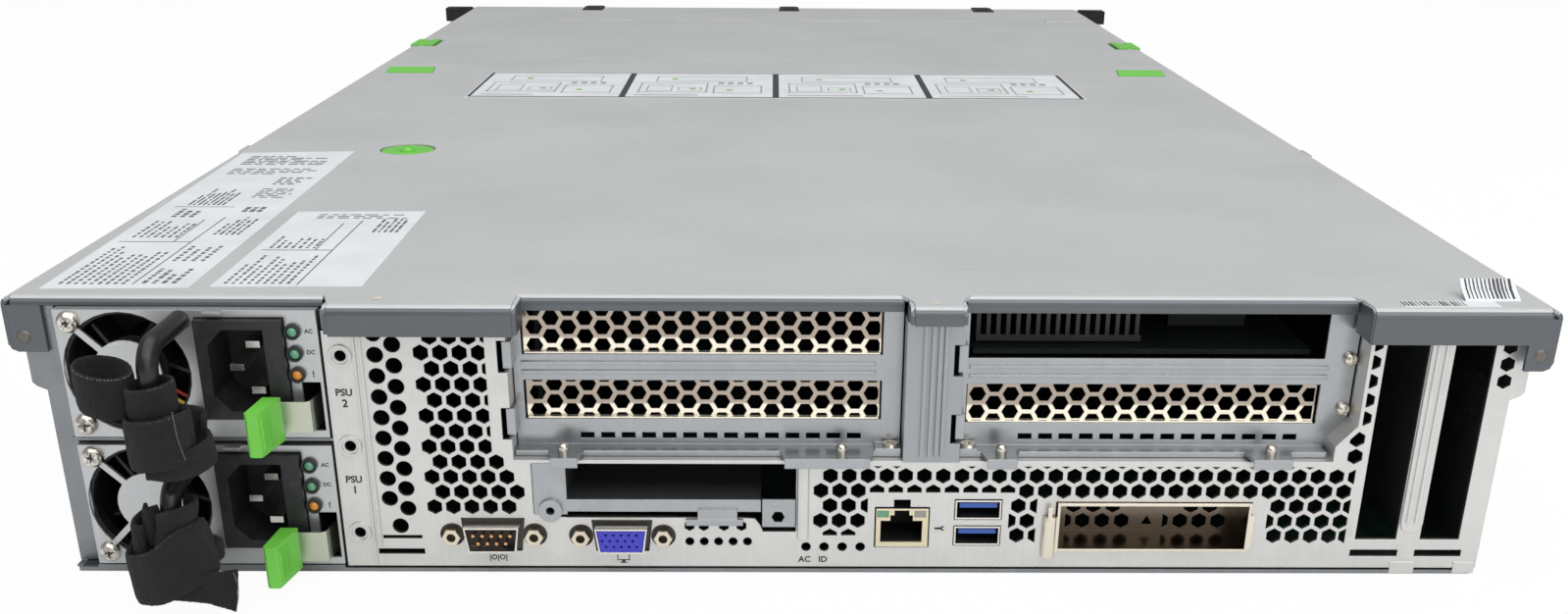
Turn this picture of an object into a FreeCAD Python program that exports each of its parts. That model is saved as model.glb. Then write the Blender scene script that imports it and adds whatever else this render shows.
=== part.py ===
import FreeCAD, Part
import math
import os

os.makedirs("parts", exist_ok=True)
V = FreeCAD.Vector

# ---- driving dimensions, mm. Depth is counted from the rear edge of the lid, then moved by REAR_TO_ORIGIN
HEIGHT = 85.6
LID_HALF = 222.5
UPPER_HALF = 218.5
LOWER_HALF = 214.5
STEP_Z = 58.0
SHEET = 1.2
BEND = 2.6
RIM_Z = 74.0
PANEL_Y = 5.0
RISER_Y = 13.5
LID_NOTCH_Y = 11.0
LEFT_EDGE_Y = 8.6
STRIP_Y = 10.0
SEAM_Y = 481.5
LID_FRONT_Y = 690.0
TRAY_FRONT_Y = 762.0
EAR_Y = 765.0
EAR_HALF = 241.3
EAR_SLOT_X = 232.5
EAR_SLOT_Z = (6.35, 79.4)
EAR_SLOT_R = 3.4
REAR_TO_ORIGIN = 373.5
HEX_PITCH = 5.615
HEX_PITCH_LEFT = 5.57
HEX_ROW = 4.86
HEX_R = 2.5
COVER_HEX_R = 2.6
COVER_HEX_PITCH = 4.985
COVER_HEX_ROW = 5.6
LEDGE_Z = 37.9
LEDGE_Y = 8.0
BRACKET_BACK_Y = 17.0
POST_GAP = 12.45
SERIAL_X = -85.9
SERIAL_Z = 12.6
VGA_X = -47.0
VGA_Z = 12.3
SLOT_PITCH = 20.32
PSU_PITCH = 41.4
PSU_LENGTH = 185.0
PSU_X0 = -206.6
PSU_X1 = -131.8
PSU_Z0 = 44.0
PSU_HIGH = 38.8
FAN_X = -187.9
FAN_Z = 63.9
FAN_R = 18.3
HANDLE_R = 2.9
HANDLE_X = -170.6
LATCH_X = -134.2
LATCH_Y = 25.0
FAN_PITCH = 92.0
FAN_SIDE = 78.0
FAN_LOW = 1.4
DRIVE_WIDE = 103.0
DRIVE_PITCH = 105.0
DRIVE_Z = 5.0
DRIVE_HIGH = 25.4
TRAY_GAP = 0.3


def box(x0, x1, y0, y1, z0, z1):
    return Part.makeBox(x1 - x0, y1 - y0, z1 - z0, V(x0, y0, z0))


def rod(x, y, z, r, length, axis):
    return Part.makeCylinder(r, length, V(x, y, z), V(*axis))


def ring(x, y, z, r_out, r_in, length, axis):
    return rod(x, y, z, r_out, length, axis).cut(rod(x, y, z, r_in, length, axis))


def poly(points, y):
    corners = [V(p[0], y, p[1]) for p in points]
    return Part.makePolygon(corners + corners[:1])


def rect(x0, x1, z0, z1, y):
    return poly([(x0, z0), (x1, z0), (x1, z1), (x0, z1)], y)


def hexagon(x, z, r, start, y):
    return poly([(x + r * math.cos(math.radians(start + 60 * k)),
                  z + r * math.sin(math.radians(start + 60 * k))) for k in range(6)], y)


def clipped_hexagon(x, z, r, start, y, x_low, x_high, z_low, z_high):
    # a hexagon cut off at the edges of a window, one edge at a time
    points = [(x + r * math.cos(math.radians(start + 60 * k)), z + r * math.sin(math.radians(start + 60 * k)))
              for k in range(6)]
    for axis, limit, sign in ((0, x_low, 1), (0, x_high, -1), (1, z_low, 1), (1, z_high, -1)):
        kept = []
        for k, a in enumerate(points):
            b = points[(k + 1) % len(points)]
            da = sign * (a[axis] - limit)
            db = sign * (b[axis] - limit)
            if da >= 0:
                kept.append(a)
            if da * db < 0:
                t = da / (da - db)
                kept.append((a[0] + t * (b[0] - a[0]), a[1] + t * (b[1] - a[1])))
        points = kept
    return poly(points, y)


def disc(x, z, r, y, sides=16):
    return poly([(x + r * math.cos(2 * math.pi * k / sides),
                  z + r * math.sin(2 * math.pi * k / sides)) for k in range(sides)], y)


def plate(outer, holes, thick):
    face = Part.makeFace([outer] + holes, "Part::FaceMakerBullseye")
    return face.extrude(V(0, thick, 0))


def along_x(points, x0, x1):
    wire = Part.makePolygon([V(x0, p[0], p[1]) for p in points + points[:1]])
    return Part.Face(wire).extrude(V(x1 - x0, 0, 0))


def along_y(points, y0, y1):
    wire = Part.makePolygon([V(p[0], y0, p[1]) for p in points + points[:1]])
    return Part.Face(wire).extrude(V(0, y1 - y0, 0))


def along_z(points, z0, z1):
    wire = Part.makePolygon([V(p[0], p[1], z0) for p in points + points[:1]])
    return Part.Face(wire).extrude(V(0, 0, z1 - z0))


def fuse(shapes):
    whole = shapes[0]
    if len(shapes) > 1:
        whole = shapes[0].multiFuse(shapes[1:])
    return whole.removeSplitter()


def mirrored(shape):
    return shape.mirror(V(0, 0, 0), V(1, 0, 0))


def lowered(shape, dz):
    copy = shape.copy()
    copy.translate(V(0, 0, dz))
    return copy


def save(name, shapes):
    solids = []
    for shape in shapes:
        solids.extend(shape.Solids)
    group = Part.makeCompound(solids) if len(solids) > 1 else solids[0]
    group.translate(V(0, -REAR_TO_ORIGIN, 0))
    group.exportStep("parts/" + name + ".step")
    print(name, len(solids), "solids", "valid" if group.isValid() else "INVALID", round(group.Volume))


# ---- chassis tray: folded sheet with a wide upper rim and a narrower lower body for the rails
def tray_profile():
    u, w, t = UPPER_HALF, LOWER_HALF, SHEET
    top = HEIGHT - SHEET - TRAY_GAP
    out = [(0, 0), (w - 1.5, 0), (w, 1.5), (w, STEP_Z - 1.2), (u - 1.2, STEP_Z), (u, STEP_Z + 1.2),
            (u, top)]
    inner = [(u - 9, top), (u - 9, top - t), (u - t, top - t), (u - t, STEP_Z + t + 0.9),
             (u - t - 0.9, STEP_Z + t), (w - t, STEP_Z + t), (w - t, t + 0.9), (w - t - 0.9, t), (0, t)]
    return out + inner


half_tray = along_y(tray_profile(), PANEL_Y + SHEET + 0.05, TRAY_FRONT_Y)
floor_edge = box(-LOWER_HALF + 1.5, LOWER_HALF - 1.5, PANEL_Y, PANEL_Y + 3, 0, SHEET)
tray_parts = [half_tray, mirrored(half_tray), floor_edge]
tray_parts.append(box(-208.0, -132.0, PANEL_Y, PANEL_Y + SHEET, 0, 2.2))
for rib_y in (250.0, 400.0, 575.0):
    tray_parts.append(box(-190, 190, rib_y, rib_y + 6, SHEET, SHEET + 0.8))
tray = fuse(tray_parts)
# on the left the side wall ends in a folded strip, which sits behind the corner plate of the lid
tray = tray.cut(box(-220, -207.0, 0, STRIP_Y, SHEET + 0.1, 90))
tray = tray.cut(box(-220, -207.0, 0, LEFT_EDGE_Y + BEND + 0.4, 82.6, 90))
strip = plate(poly([(-LOWER_HALF, 1.5), (-208.2, 1.5), (-208.2, 82.6), (-UPPER_HALF, 82.6),
                    (-UPPER_HALF, 60.4), (-UPPER_HALF + 0.6, 58.9), (-UPPER_HALF + 2.1, STEP_Z),
                    (-LOWER_HALF - 0.9, STEP_Z - 0.3), (-LOWER_HALF, STEP_Z - 1.2)], STRIP_Y), [], SHEET)
tray = tray.fuse(strip)
# notches that clear the lid grips
for side in (-1, 1):
    notch = box(208.0, 220.0, 543.4, 573.6, RIM_Z, 90.0)
    tray = tray.cut(notch if side > 0 else mirrored(notch))
tray = tray.removeSplitter()
# the rims above the side walls are strips of their own, which stand on the walls
rim_zone = box(-230.0, 230.0, STRIP_Y + SHEET + 0.4, 770.0, RIM_Z, 90.0)
save("chassis_tray", [tray.cut(rim_zone), tray.common(rim_zone)])


# ---- rear panel: one pierced plate with the vents, the slot openings and the connector cut-outs
def hex_row(x_first, count, z, skip=()):
    return [(x_first + HEX_PITCH * k, z) for k in range(count) if k not in skip]


def rear_outline():
    u, w, top = UPPER_HALF, LOWER_HALF, HEIGHT - SHEET - TRAY_GAP
    right = [(-131.0, 2.0), (w, 2.0), (w, STEP_Z - 1.2), (u - 1.2, STEP_Z), (u, STEP_Z + 1.2), (u, top)]
    tall_slots = [(207.8, top), (207.8, 11.6), (195.8, 11.6), (195.8, top), (188.6, top), (188.6, 11.6),
                  (176.0, 11.6), (176.0, top), (171.4, top)]
    recesses = [(171.4, 47.6), (165.6, 41.4), (165.6, 37.0), (54.0, 37.0), (54.0, 80.0), (37.2, 80.0),
                (37.2, 37.0), (-78.4, 37.0), (-78.4, top)]
    return right + tall_slots + recesses + [(-127.2, top), (-127.2, 76.8), (-131.0, 76.8)]


rear_holes = []
y = PANEL_Y
for k in range(12):
    z = 75.2 - HEX_ROW * k
    first = -103.0 if k % 2 == 1 else -100.2
    count = {8: 4, 10: 5, 9: 5, 11: 5}.get(k, 4)
    edge = -84.6 if k < 8 else 0.0
    for i in range(count):
        rear_holes.append(clipped_hexagon(first + HEX_PITCH_LEFT * i, z, HEX_R, 30, y, -120, edge, 0, 90))
field = hex_row(15.8, 28, 32.2) + hex_row(13.0, 3, 27.34)
field += hex_row(13.0 + HEX_PITCH * 11, 18, 27.34)
field += hex_row(15.8, 2, 22.45) + hex_row(13.0, 3, 17.5)
field += [(72.6, 22.45), (75.5, 17.5), (72.65, 12.7)]
field += hex_row(151.0, 4, 22.45) + hex_row(153.75, 4, 17.5) + hex_row(151.0, 4, 12.7)
field += [(171.9, 38.8), (171.8, 44.3)]
for hx, hz in field:
    rear_holes.append(hexagon(hx, hz, HEX_R, 30, y))
# part holes, where the pattern runs into a bend or a cut-out
part_field = [(173.0, 32.2, 160, 172.9, 0), (27.25, 22.45, 20, 27.2, 0), (78.27, 22.45, 70, 78.25, 0),
              (173.0, 22.45, 160, 172.9, 0), (69.9, 17.5, 69.9, 75, 0), (148.15, 17.5, 148.2, 155, 0),
              (15.9, 12.3, 10, 20, 12.5), (21.5, 12.3, 18, 26, 12.5), (78.3, 12.7, 70, 78.25, 0),
              (173.0, 12.7, 160, 172.9, 0)]
for hx, hz, x_low, x_high, z_low in part_field:
    rear_holes.append(clipped_hexagon(hx, hz, HEX_R, 30, y, x_low, x_high, z_low, 90))
for k in list(range(5)) + list(range(8, 27)):
    rear_holes.append(clipped_hexagon(13.0 + HEX_PITCH * k, 37.05, HEX_R, 30, y, 0, 200, 0, 35.3))
for z_mid in (50.9, 56.6, 62.5, 68.3, 73.9):
    rear_holes.append(poly([(172.5, z_mid - 2.2), (173.0, z_mid - 2.2), (174.9, z_mid - 1.2),
            (174.9, z_mid + 1.2),
                            (173.0, z_mid + 2.2), (172.5, z_mid + 2.2)], y))
for k in range(8):
    rear_holes.append(clipped_hexagon(29.85 + HEX_PITCH * k, 26.96, HEX_R, 30, y, 0, 200, 26.75, 90))
for z_mid in (62.6, 67.9, 73.2):
    rear_holes.append(hexagon(211.9, z_mid, 2.3, 30, y))
rear_holes += [disc(-116.2, 76.1 - 6.46 * k, 2.45, y) for k in range(9)]
rear_holes += [disc(-111.0, 72.8 - 6.45 * k, 2.45, y) for k in range(9)]
rear_holes.append(disc(-113.8, 15.4, 2.45, y))
rear_holes += [rect(-121.2, -107.2, 6.0, 7.8, y), rect(-119.4, -107.6, 11.2, 12.3, y)]
rear_holes += [disc(-126.2, z_mid, 1.7, y) for z_mid in (69.3, 41.3, 13.2)]
rear_holes.append(poly([(-73.4, 36.0), (-73.4, 19.4), (-63.4, 18.3), (-11.0, 18.3), (-6.8, 18.0),
        (-5.2, 15.8),
                        (-4.4, 13.7), (5.6, 13.7), (5.6, 36.0)], y))
rear_holes += [hexagon(x_mid, 15.6, 1.7, 30, y) for x_mid in (-26.6, -22.3, -16.2, -10.9)]
rear_holes += [disc(-26.6 + 4.38 * k, 10.4, 1.4, y, 10) for k in range(5)]
rear_holes += [disc(8.73 + 5.5 * k, 8.68, 1.5, y, 12) for k in range(4)]
rear_holes.append(poly([(29.4, 8.6), (46.0, 8.6), (46.0, 22.0), (40.1, 22.0), (40.1, 24.4), (35.1, 24.4),
                        (35.1, 22.0), (29.4, 22.0)], y))
rear_holes += [rect(53.35, 67.8, 17.8, 24.6, y), rect(53.35, 67.8, 9.2, 15.9, y)]
rear_holes.append(rect(84.0, 143.3, 7.6, 23.9, y))
rear_holes += [rect(175.1, 189.7, 5.9, 8.1, y), rect(194.9, 209.3, 5.9, 8.1, y)]
cutters = [Part.Face(w).extrude(V(0, SHEET, 0)) for w in rear_holes]
for x_mid, z_mid, half, top in ((SERIAL_X, SERIAL_Z, 9.6, 18.1), (VGA_X, VGA_Z, 9.2, 17.5)):
    low = 2 * z_mid - top
    opening = Part.Face(poly([(x_mid - half, top), (x_mid - half + 1.2, low), (x_mid + half - 1.2, low),
                              (x_mid + half, top)], y)).extrude(V(0, SHEET, 0))
    rounds = [rod(x_mid + side * POST_GAP, y, z_mid, 3.7, SHEET, (0, 1, 0)) for side in (-1, 1)]
    cutters.append(fuse([opening] + rounds))
panel = plate(poly(rear_outline(), y), [], SHEET).cut(Part.makeCompound(cutters))
ribs = [box(-120.6, -119.8, y - 0.8, y, 8.6, 83.0), box(-122.4, -121.7, y - 0.5, y, 2.6, 83.0)]
ribs += [box(x0, x0 + 1.2, y - 0.9, y, 38.6, 79.6) for x0 in (42.0, 44.3, 46.3, 48.0)]
ribs.append(along_z([(5.8, y), (6.2, y - 0.9), (7.0, y - 1.2), (8.3, y - 1.2), (9.1, y - 0.9), (9.5, y)],
                    11.5, 36.0))
for z_mid in (69.3, 41.3, 13.2):
    ribs.append(ring(-126.2, y - 0.6, z_mid, 3.4, 2.5, 0.6, (0, 1, 0)))
feet = [box(188.0, 195.5, y - 0.3, y, 0.3, 4.0), box(207.5, 214.0, y - 0.3, y, 0.3, 4.0)]
# returns at the edges of the two riser recesses stiffen the plate and close the recess sides
returns = [box(-79.5, -78.4, y, RISER_Y, 37.0, 84.1), box(37.2, 38.3, y, RISER_Y, 37.0, 80.0),
           box(52.9, 54.0, y, RISER_Y, 37.0, 80.0), box(171.4, 172.4, y, RISER_Y, 47.6, 84.1),
           box(-79.5, 38.3, y, RISER_Y, 35.9, 37.0), box(52.9, 165.6, y, RISER_Y, 35.9, 37.0),
           along_y([(165.6, 35.9), (166.7, 37.0), (166.7, 41.0), (172.4, 47.2), (172.4, 48.4),
                    (171.4, 48.4), (165.6, 41.9)], y, RISER_Y)]
rear_panel = fuse([panel] + ribs + returns + feet)
# slots in the bends take the latch fingers of the riser cages
for x0, x1, z0, z1 in ((-81.1, -78.3, 64.3, 74.0), (-81.1, -78.3, 43.5, 53.4), (51.0, 54.1, 63.6, 73.1),
                       (51.0, 54.1, 42.6, 51.7)):
    rear_panel = rear_panel.cut(box(x0, x1, y - 0.1, y + 3.5, z0, z1))
save("rear_panel", [rear_panel])


# ---- power supply bay: shelf between the two bays and the inner side wall
shelf = fuse([box(-208.0, PSU_X1 + 0.8, PANEL_Y + SHEET, PANEL_Y + 200, 42.4, 43.4),
              box(-LOWER_HALF + SHEET, -207.5, STRIP_Y + SHEET + 0.1, PANEL_Y + 200, 42.4, 43.4)])
wall = box(-131.0, -130.0, PANEL_Y + SHEET, PANEL_Y + 200, SHEET, 82.8)
rear_stop = plate(rect(-208.0, -130.0, SHEET, 82.6, PANEL_Y + 196),
                  [disc(-187.9, z, 14.0, PANEL_Y + 196, 20) for z in (22.5, 63.9)], 1.2)
save("psu_bay", [fuse([shelf, wall, rear_stop])])


# ---- riser cages: face frame with two card slots, a beaded beam, a rectangle vent row and a bottom ledge
def riser_cage(x0, x1, slot_top, slot_low, corner_cut, tab_spans, ear_spans, fingers):
    low = LEDGE_Z - 0.4
    top = 84.0
    outline = [(x0, low), (x1 - corner_cut, low), (x1, low + corner_cut), (x1, top), (x0, top)]
    if corner_cut == 0:
        outline = [(x0, low), (x1, low), (x1, top), (x0, top)]
    holes = [rect(slot_top[0], slot_top[1], slot_top[2], slot_top[3], RISER_Y),
             rect(slot_low[0], slot_low[1], slot_low[2], slot_low[3], RISER_Y)]
    x_first = slot_low[0] + 16.2
    for k in range(14):
        holes.append(rect(x_first + 6.16 * k, x_first + 6.16 * k + 4.1, 40.7, 42.6, RISER_Y))
    face = plate(poly(outline, RISER_Y), holes, 1.0)
    parts = [face]
    beam = (slot_low[3] + slot_top[2]) / 2
    for dz in (-1.9, 0.9):
        parts.append(box(x0 + 2.4, x1 - 8.0, RISER_Y - 0.7, RISER_Y, beam + dz, beam + dz + 1.0))
    # the walls reach forward, so that cards are held inside the cage
    parts.append(box(x0, x0 + 1.0, RISER_Y, RISER_Y + 230, 44.0, 83.6))
    parts.append(box(x0, x1 - 12.0, RISER_Y + 229, RISER_Y + 230, 44.0, 83.6))
    parts.append(box(x0 + 1.0, slot_low[1], RISER_Y, RISER_Y + 5.0, beam - 0.5, beam + 0.5))
    # the ledge ends in a short downward flange, and its tabs hook over the edge of the rear panel
    parts.append(box(x0, x1 - corner_cut, LEDGE_Y, RISER_Y + 0.5, LEDGE_Z, LEDGE_Z + 1.0))
    parts.append(box(x0, x1 - corner_cut, LEDGE_Y, LEDGE_Y + 0.8, LEDGE_Z - 0.7, LEDGE_Z + 1.0))
    for a, b in tab_spans:
        parts.append(along_z([(a, LEDGE_Y + 1), (b, LEDGE_Y + 1), (b - 1.5, PANEL_Y - 3.4),
                              (a + 1.5, PANEL_Y - 3.4)], LEDGE_Z, LEDGE_Z + 1.0))
        parts.append(box(a + 1.5, b - 1.5, PANEL_Y - 3.4, PANEL_Y - 2.6, LEDGE_Z - 2.1, LEDGE_Z + 1.0))
    for a, b in ear_spans:
        parts.append(box(a, b, LEDGE_Y, RISER_Y, LEDGE_Z + 1.0, LEDGE_Z + 1.8))
    # sprung fingers in the slots of the rear panel
    for z0, z1 in fingers:
        parts.append(box(x0, x0 + 0.8, 6.6, RISER_Y + 0.5, z0, z1))
        parts.append(box(x0 - 1.8, x0 + 0.8, 6.6, 7.4, z0, z1))
    return fuse(parts)


left_cage = riser_cage(-78.1, 36.8, (-75.4, 30.9, 67.2, 81.4), (-75.4, 30.9, 46.9, 59.2), 0,
                       ((-68.6, -57.6), (0.5, 28.8)), ((29.0, 36.8),), ((65.0, 73.2), (44.4, 52.6)))
right_cage = riser_cage(54.4, 171.0, (56.2, 161.7, 66.4, 81.4), (56.2, 161.7, 46.0, 58.4), 6.6,
                        ((60.5, 72.4), (139.5, 154.0)), ((54.4, 59.6),), ((64.2, 72.4), (43.4, 51.0)))
save("riser_cage_left", [left_cage])
save("riser_cage_right", [right_cage])


# ---- slot covers: thin springy blanks pierced with flat-topped hexagons
def slot_cover(x0, x1, z0, z1, hex_x0, columns, z_first):
    # columns of flat-topped hexagons in turn high and low, cut off at the edges of the blank
    holes = []
    y_face = RISER_Y + 1.6
    for col in range(columns):
        x_mid = hex_x0 + COVER_HEX_PITCH * col
        for row in range(4):
            z_mid = z_first - COVER_HEX_ROW * row - (0.0 if col % 2 == 0 else COVER_HEX_ROW / 2)
            if z_mid + 1.5 > z0 + 0.35 and z_mid - 1.5 < z1 and abs(x_mid - x1) > 0.6:
                holes.append(clipped_hexagon(x_mid, z_mid, COVER_HEX_R - 0.1, 0, y_face, x0 + 0.35,
                                             x1 - 0.5, z0 + 0.35, z1 - 0.2))
    face = plate(rect(x0, x1, z0 - 0.2, z1 + 0.4, y_face), holes, 0.5)
    foot = box(x0 + 0.4, x1 - 0.4, y_face - 1.3, y_face, z0 - 0.2, z0 + 0.3)
    return fuse([face, foot])


cover_slots = [(-75.0, 30.5, 67.5, 80.9, -71.57, 21, 80.6), (-75.0, 30.5, 47.2, 58.8, -71.57, 21, 60.28),
               (56.6, 161.3, 46.3, 58.0, 59.75, 21, 60.2)]
save("slot_covers", [slot_cover(*spec) for spec in cover_slots])


# ---- expansion cards: riser boards, one card with a long finned heatsink behind the open slot
cards = [box(-74.6, -73.0, RISER_Y + 20, RISER_Y + 200, 44.5, 83.0),
         box(56.6, 58.2, RISER_Y + 20, RISER_Y + 200, 44.5, 83.0),
         box(58.6, 160.0, RISER_Y + 8, RISER_Y + 190, 65.2, 66.8)]
sink = box(60.0, 110.0, RISER_Y + 14, RISER_Y + 120, 67.2, 69.2)
fins = [box(60.0 + 3.0 * k, 61.2 + 3.0 * k, RISER_Y + 14, RISER_Y + 120, 69.2, 79.5) for k in range(17)]
cards.append(fuse([sink] + fins))
cards.append(box(122.0, 146.0, RISER_Y + 30, RISER_Y + 60, 67.2, 71.0))
save("riser_cards", cards)


# ---- low slot frame: formed bar, clip, hex-holed tab and left bracket around the low card opening
bar_y = PANEL_Y - 0.3
left_piece = plate(rect(-73.2, -63.2, 19.4, 35.9, bar_y), [disc(-68.2, 21.0, 1.3, bar_y, 12)], 1.0)
inner_wall = box(-64.2, -63.2, bar_y, bar_y + 60, 19.4, 35.9)
bar = box(-63.2, -5.0, bar_y, bar_y + 1.0, 20.4, 24.4)
bar_top = box(-63.2, -5.0, bar_y, bar_y + 55, 23.4, 24.4)
clip = box(-24.0, -12.1, bar_y - 0.8, bar_y, 17.3, 21.4)
clip_low = box(-27.6, -10.4, bar_y - 1.0, bar_y - 0.1, 16.2, 18.2)
boss_tab = plate(rect(-4.6, 5.4, 15.4, 24.4, bar_y),
                 [hexagon(0.2, 18.7, 2.0, 0, bar_y)], 1.0)
boss_lug = plate(disc(-68.2, 21.0, 3.6, bar_y - 1.2, 18), [disc(-68.2, 21.0, 1.3, bar_y - 1.2, 12)], 1.2)
save("low_slot_frame", [fuse([left_piece, inner_wall, bar, bar_top, clip, clip_low, boss_tab, boss_lug])])


# ---- D-shaped connectors: shell, insulator, pins or holes, and the two hexagonal jack posts
def d_shape(x_mid, z_mid, half, high, slope, y_at):
    return poly([(x_mid - half, z_mid + high), (x_mid - half + slope, z_mid - high),
                 (x_mid + half - slope, z_mid - high), (x_mid + half, z_mid + high)], y_at)


def d_connector(x_mid, z_mid, half, flange_half, rows):
    shell = plate(d_shape(x_mid, z_mid, half, 4.1, 1.1, PANEL_Y - 4.6),
                  [d_shape(x_mid, z_mid, half - 0.5, 3.6, 1.1, PANEL_Y - 4.6)], 11.0)
    flange = plate(rect(x_mid - flange_half, x_mid + flange_half, z_mid - 6.0, z_mid + 6.0,
                        PANEL_Y + SHEET),
                   [d_shape(x_mid, z_mid, half - 0.5, 3.6, 1.1, PANEL_Y + SHEET)], 0.8)
    block = plate(d_shape(x_mid, z_mid, half - 0.5, 3.6, 1.1, PANEL_Y - 0.6), [], 12.6)
    parts = [fuse([shell, flange]), block]
    for side in (-1, 1):
        x_jack = x_mid + side * POST_GAP
        post = plate(hexagon(x_jack, z_mid, 2.8, 0, PANEL_Y - 2.8),
                     [disc(x_jack, z_mid, 1.4, PANEL_Y - 2.8, 10)], 2.8 + SHEET)
        parts.append(post)
    for z_row, xs in rows:
        for x_pin in xs:
            parts.append(rod(x_mid + x_pin, PANEL_Y - 4.1, z_mid + z_row, 0.5, 3.5, (0, 1, 0)))
    return parts


serial_rows = [(1.25, [-5.54, -2.77, 0.0, 2.77, 5.54]), (-1.25, [-4.15, -1.38, 1.38, 4.15])]
save("serial_port", d_connector(SERIAL_X, SERIAL_Z, 8.3, 16.6, serial_rows))
vga = d_connector(VGA_X, VGA_Z, 7.9, 16.6, [])
vga_block = plate(d_shape(VGA_X, VGA_Z, 7.4, 3.6, 1.1, PANEL_Y - 4.1),
                  [disc(VGA_X + dx, VGA_Z + dz, 0.45, PANEL_Y - 4.1, 6)
                   for dx0, dz in ((0.0, 1.9), (-1.15, 0.0), (0.0, -1.9))
                   for dx in [dx0 + 2.3 * k for k in (-2, -1, 0, 1, 2)] if abs(dx) < 6.2], 3.5)
save("vga_port", [vga[0], vga[1], vga_block] + vga[2:])

# ---- network jack: shielded box with a stepped mouth and two lamps
mouth = poly([(31.2, 10.5), (43.8, 10.5), (43.8, 17.6), (40.9, 17.6), (40.9, 19.4), (39.8, 19.4),
              (39.8, 21.0), (35.3, 21.0), (35.3, 19.4), (34.1, 19.4), (34.1, 17.6), (31.2, 17.6)],
             PANEL_Y - 0.4)
lamp_holes = [rect(30.1, 33.6, 18.7, 20.9, PANEL_Y - 0.4), rect(41.4, 44.8, 18.7, 20.9, PANEL_Y - 0.4)]
jack_front = plate(rect(29.8, 45.6, 8.9, 21.6, PANEL_Y - 0.4), [mouth] + lamp_holes, 1.2)
jack_body = plate(rect(29.8, 45.6, 8.9, 21.6, PANEL_Y + 0.8), [rect(31.0, 44.4, 10.1, 20.6,
                                                                    PANEL_Y + 0.8)], 14.0)
jack_back = box(29.8, 45.6, PANEL_Y + 14.8, PANEL_Y + 16.0, 8.9, 21.6)
lamps = [box(30.2, 33.5, PANEL_Y - 0.3, PANEL_Y + 0.8, 18.8, 20.8),
         box(41.5, 44.7, PANEL_Y - 0.3, PANEL_Y + 0.8, 18.8, 20.8)]
contacts = [box(33.9 + 1.02 * k, 34.3 + 1.02 * k, PANEL_Y + 3.0, PANEL_Y + 13.0, 20.0, 20.6)
            for k in range(8)]
save("lan_port", [fuse([jack_front, jack_body, jack_back])] + lamps + contacts)

# ---- USB sockets: two shells with tongues
usb = []
for z0 in (18.1, 9.5):
    shell = plate(rect(53.6, 67.5, z0, z0 + 6.2, PANEL_Y - 0.3),
                  [rect(54.1, 67.0, z0 + 0.5, z0 + 5.7, PANEL_Y - 0.3)], 15.0)
    back = box(54.1, 67.0, PANEL_Y + 13.2, PANEL_Y + 14.7, z0 + 0.5, z0 + 5.7)
    usb += [fuse([shell, back]), box(55.0, 66.4, PANEL_Y + 0.8, PANEL_Y + 13.2, z0 + 3.4, z0 + 5.0)]
save("usb_ports", usb)

# ---- module bracket: shallow tray with a pierced back wall at the lower right
mb_y = PANEL_Y + SHEET
back_y = BRACKET_BACK_Y
back_holes = [hexagon(x_mid, 12.2, HEX_R, 30, back_y) for x_mid in (94.9, 101.0, 107.1, 125.4, 131.3, 137.2)]
back_holes += [hexagon(x_mid, 17.4, HEX_R, 30, back_y) for x_mid in (91.9, 98.0, 104.1, 128.4, 134.3)]
back_holes += [clipped_hexagon(89.2, 12.2, HEX_R, 30, back_y, 89.6, 95, 0, 90),
               clipped_hexagon(119.4, 12.2, HEX_R, 30, back_y, 119.9, 125, 0, 90)]
back_holes.append(poly([(113.3, 11.0), (116.7, 11.0), (115.0, 13.9)], back_y))
bracket_back = plate(rect(85.2, 142.9, 7.8, 23.7, back_y), back_holes, 1.0)
bracket_floor = box(85.2, 142.9, PANEL_Y - 1.2, back_y, 7.8, 8.7)
bracket_top = box(85.2, 142.9, PANEL_Y - 1.2, back_y, 22.9, 23.7)
left_side = box(84.4, 85.2, PANEL_Y - 1.4, back_y + 1.0, 7.8, 23.7)
right_tab = box(142.1, 144.1, PANEL_Y - 1.4, PANEL_Y - 0.4, 8.9, 19.8)
right_side = box(142.1, 142.9, PANEL_Y - 1.4, back_y + 1.0, 7.8, 23.7)
# rolled post at the left edge, open at the back, with a narrow neck above it
post_y = PANEL_Y - 0.4
post = ring(82.4, post_y, 6.0, 2.15, 1.25, 13.4, (0, 0, 1))
post = post.cut(box(79.0, 86.0, post_y, post_y + 3.0, 5.0, 20.0))
post_web = box(84.0, 85.2, post_y - 1.0, post_y, 7.8, 19.4)
neck = box(81.4, 82.7, post_y - 2.1, post_y - 1.3, 18.4, 22.8)
save("module_bracket", [fuse([bracket_back, bracket_floor, bracket_top, left_side, right_tab, right_side,
                              post, post_web, neck])])

# ---- slot divider: ribbed strip between the two tall open slots
divider = plate(poly([(188.9, 84.0), (188.9, 17.0), (189.8, 15.0), (192.2, 14.0), (194.6, 15.0),
        (195.5, 17.0),
                      (195.5, 84.0)], PANEL_Y - 0.9), [], 0.8)
divider_ribs = [box(x0, x0 + 1.0, PANEL_Y - 1.4, PANEL_Y - 0.9, 17.5, 82.0) for x0 in (190.3, 192.8)]
divider_wall = box(192.0, 193.0, PANEL_Y + 1.3, PANEL_Y + 120, 10.0, 80.0)
save("slot_divider", [fuse([divider] + divider_ribs), divider_wall])

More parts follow.
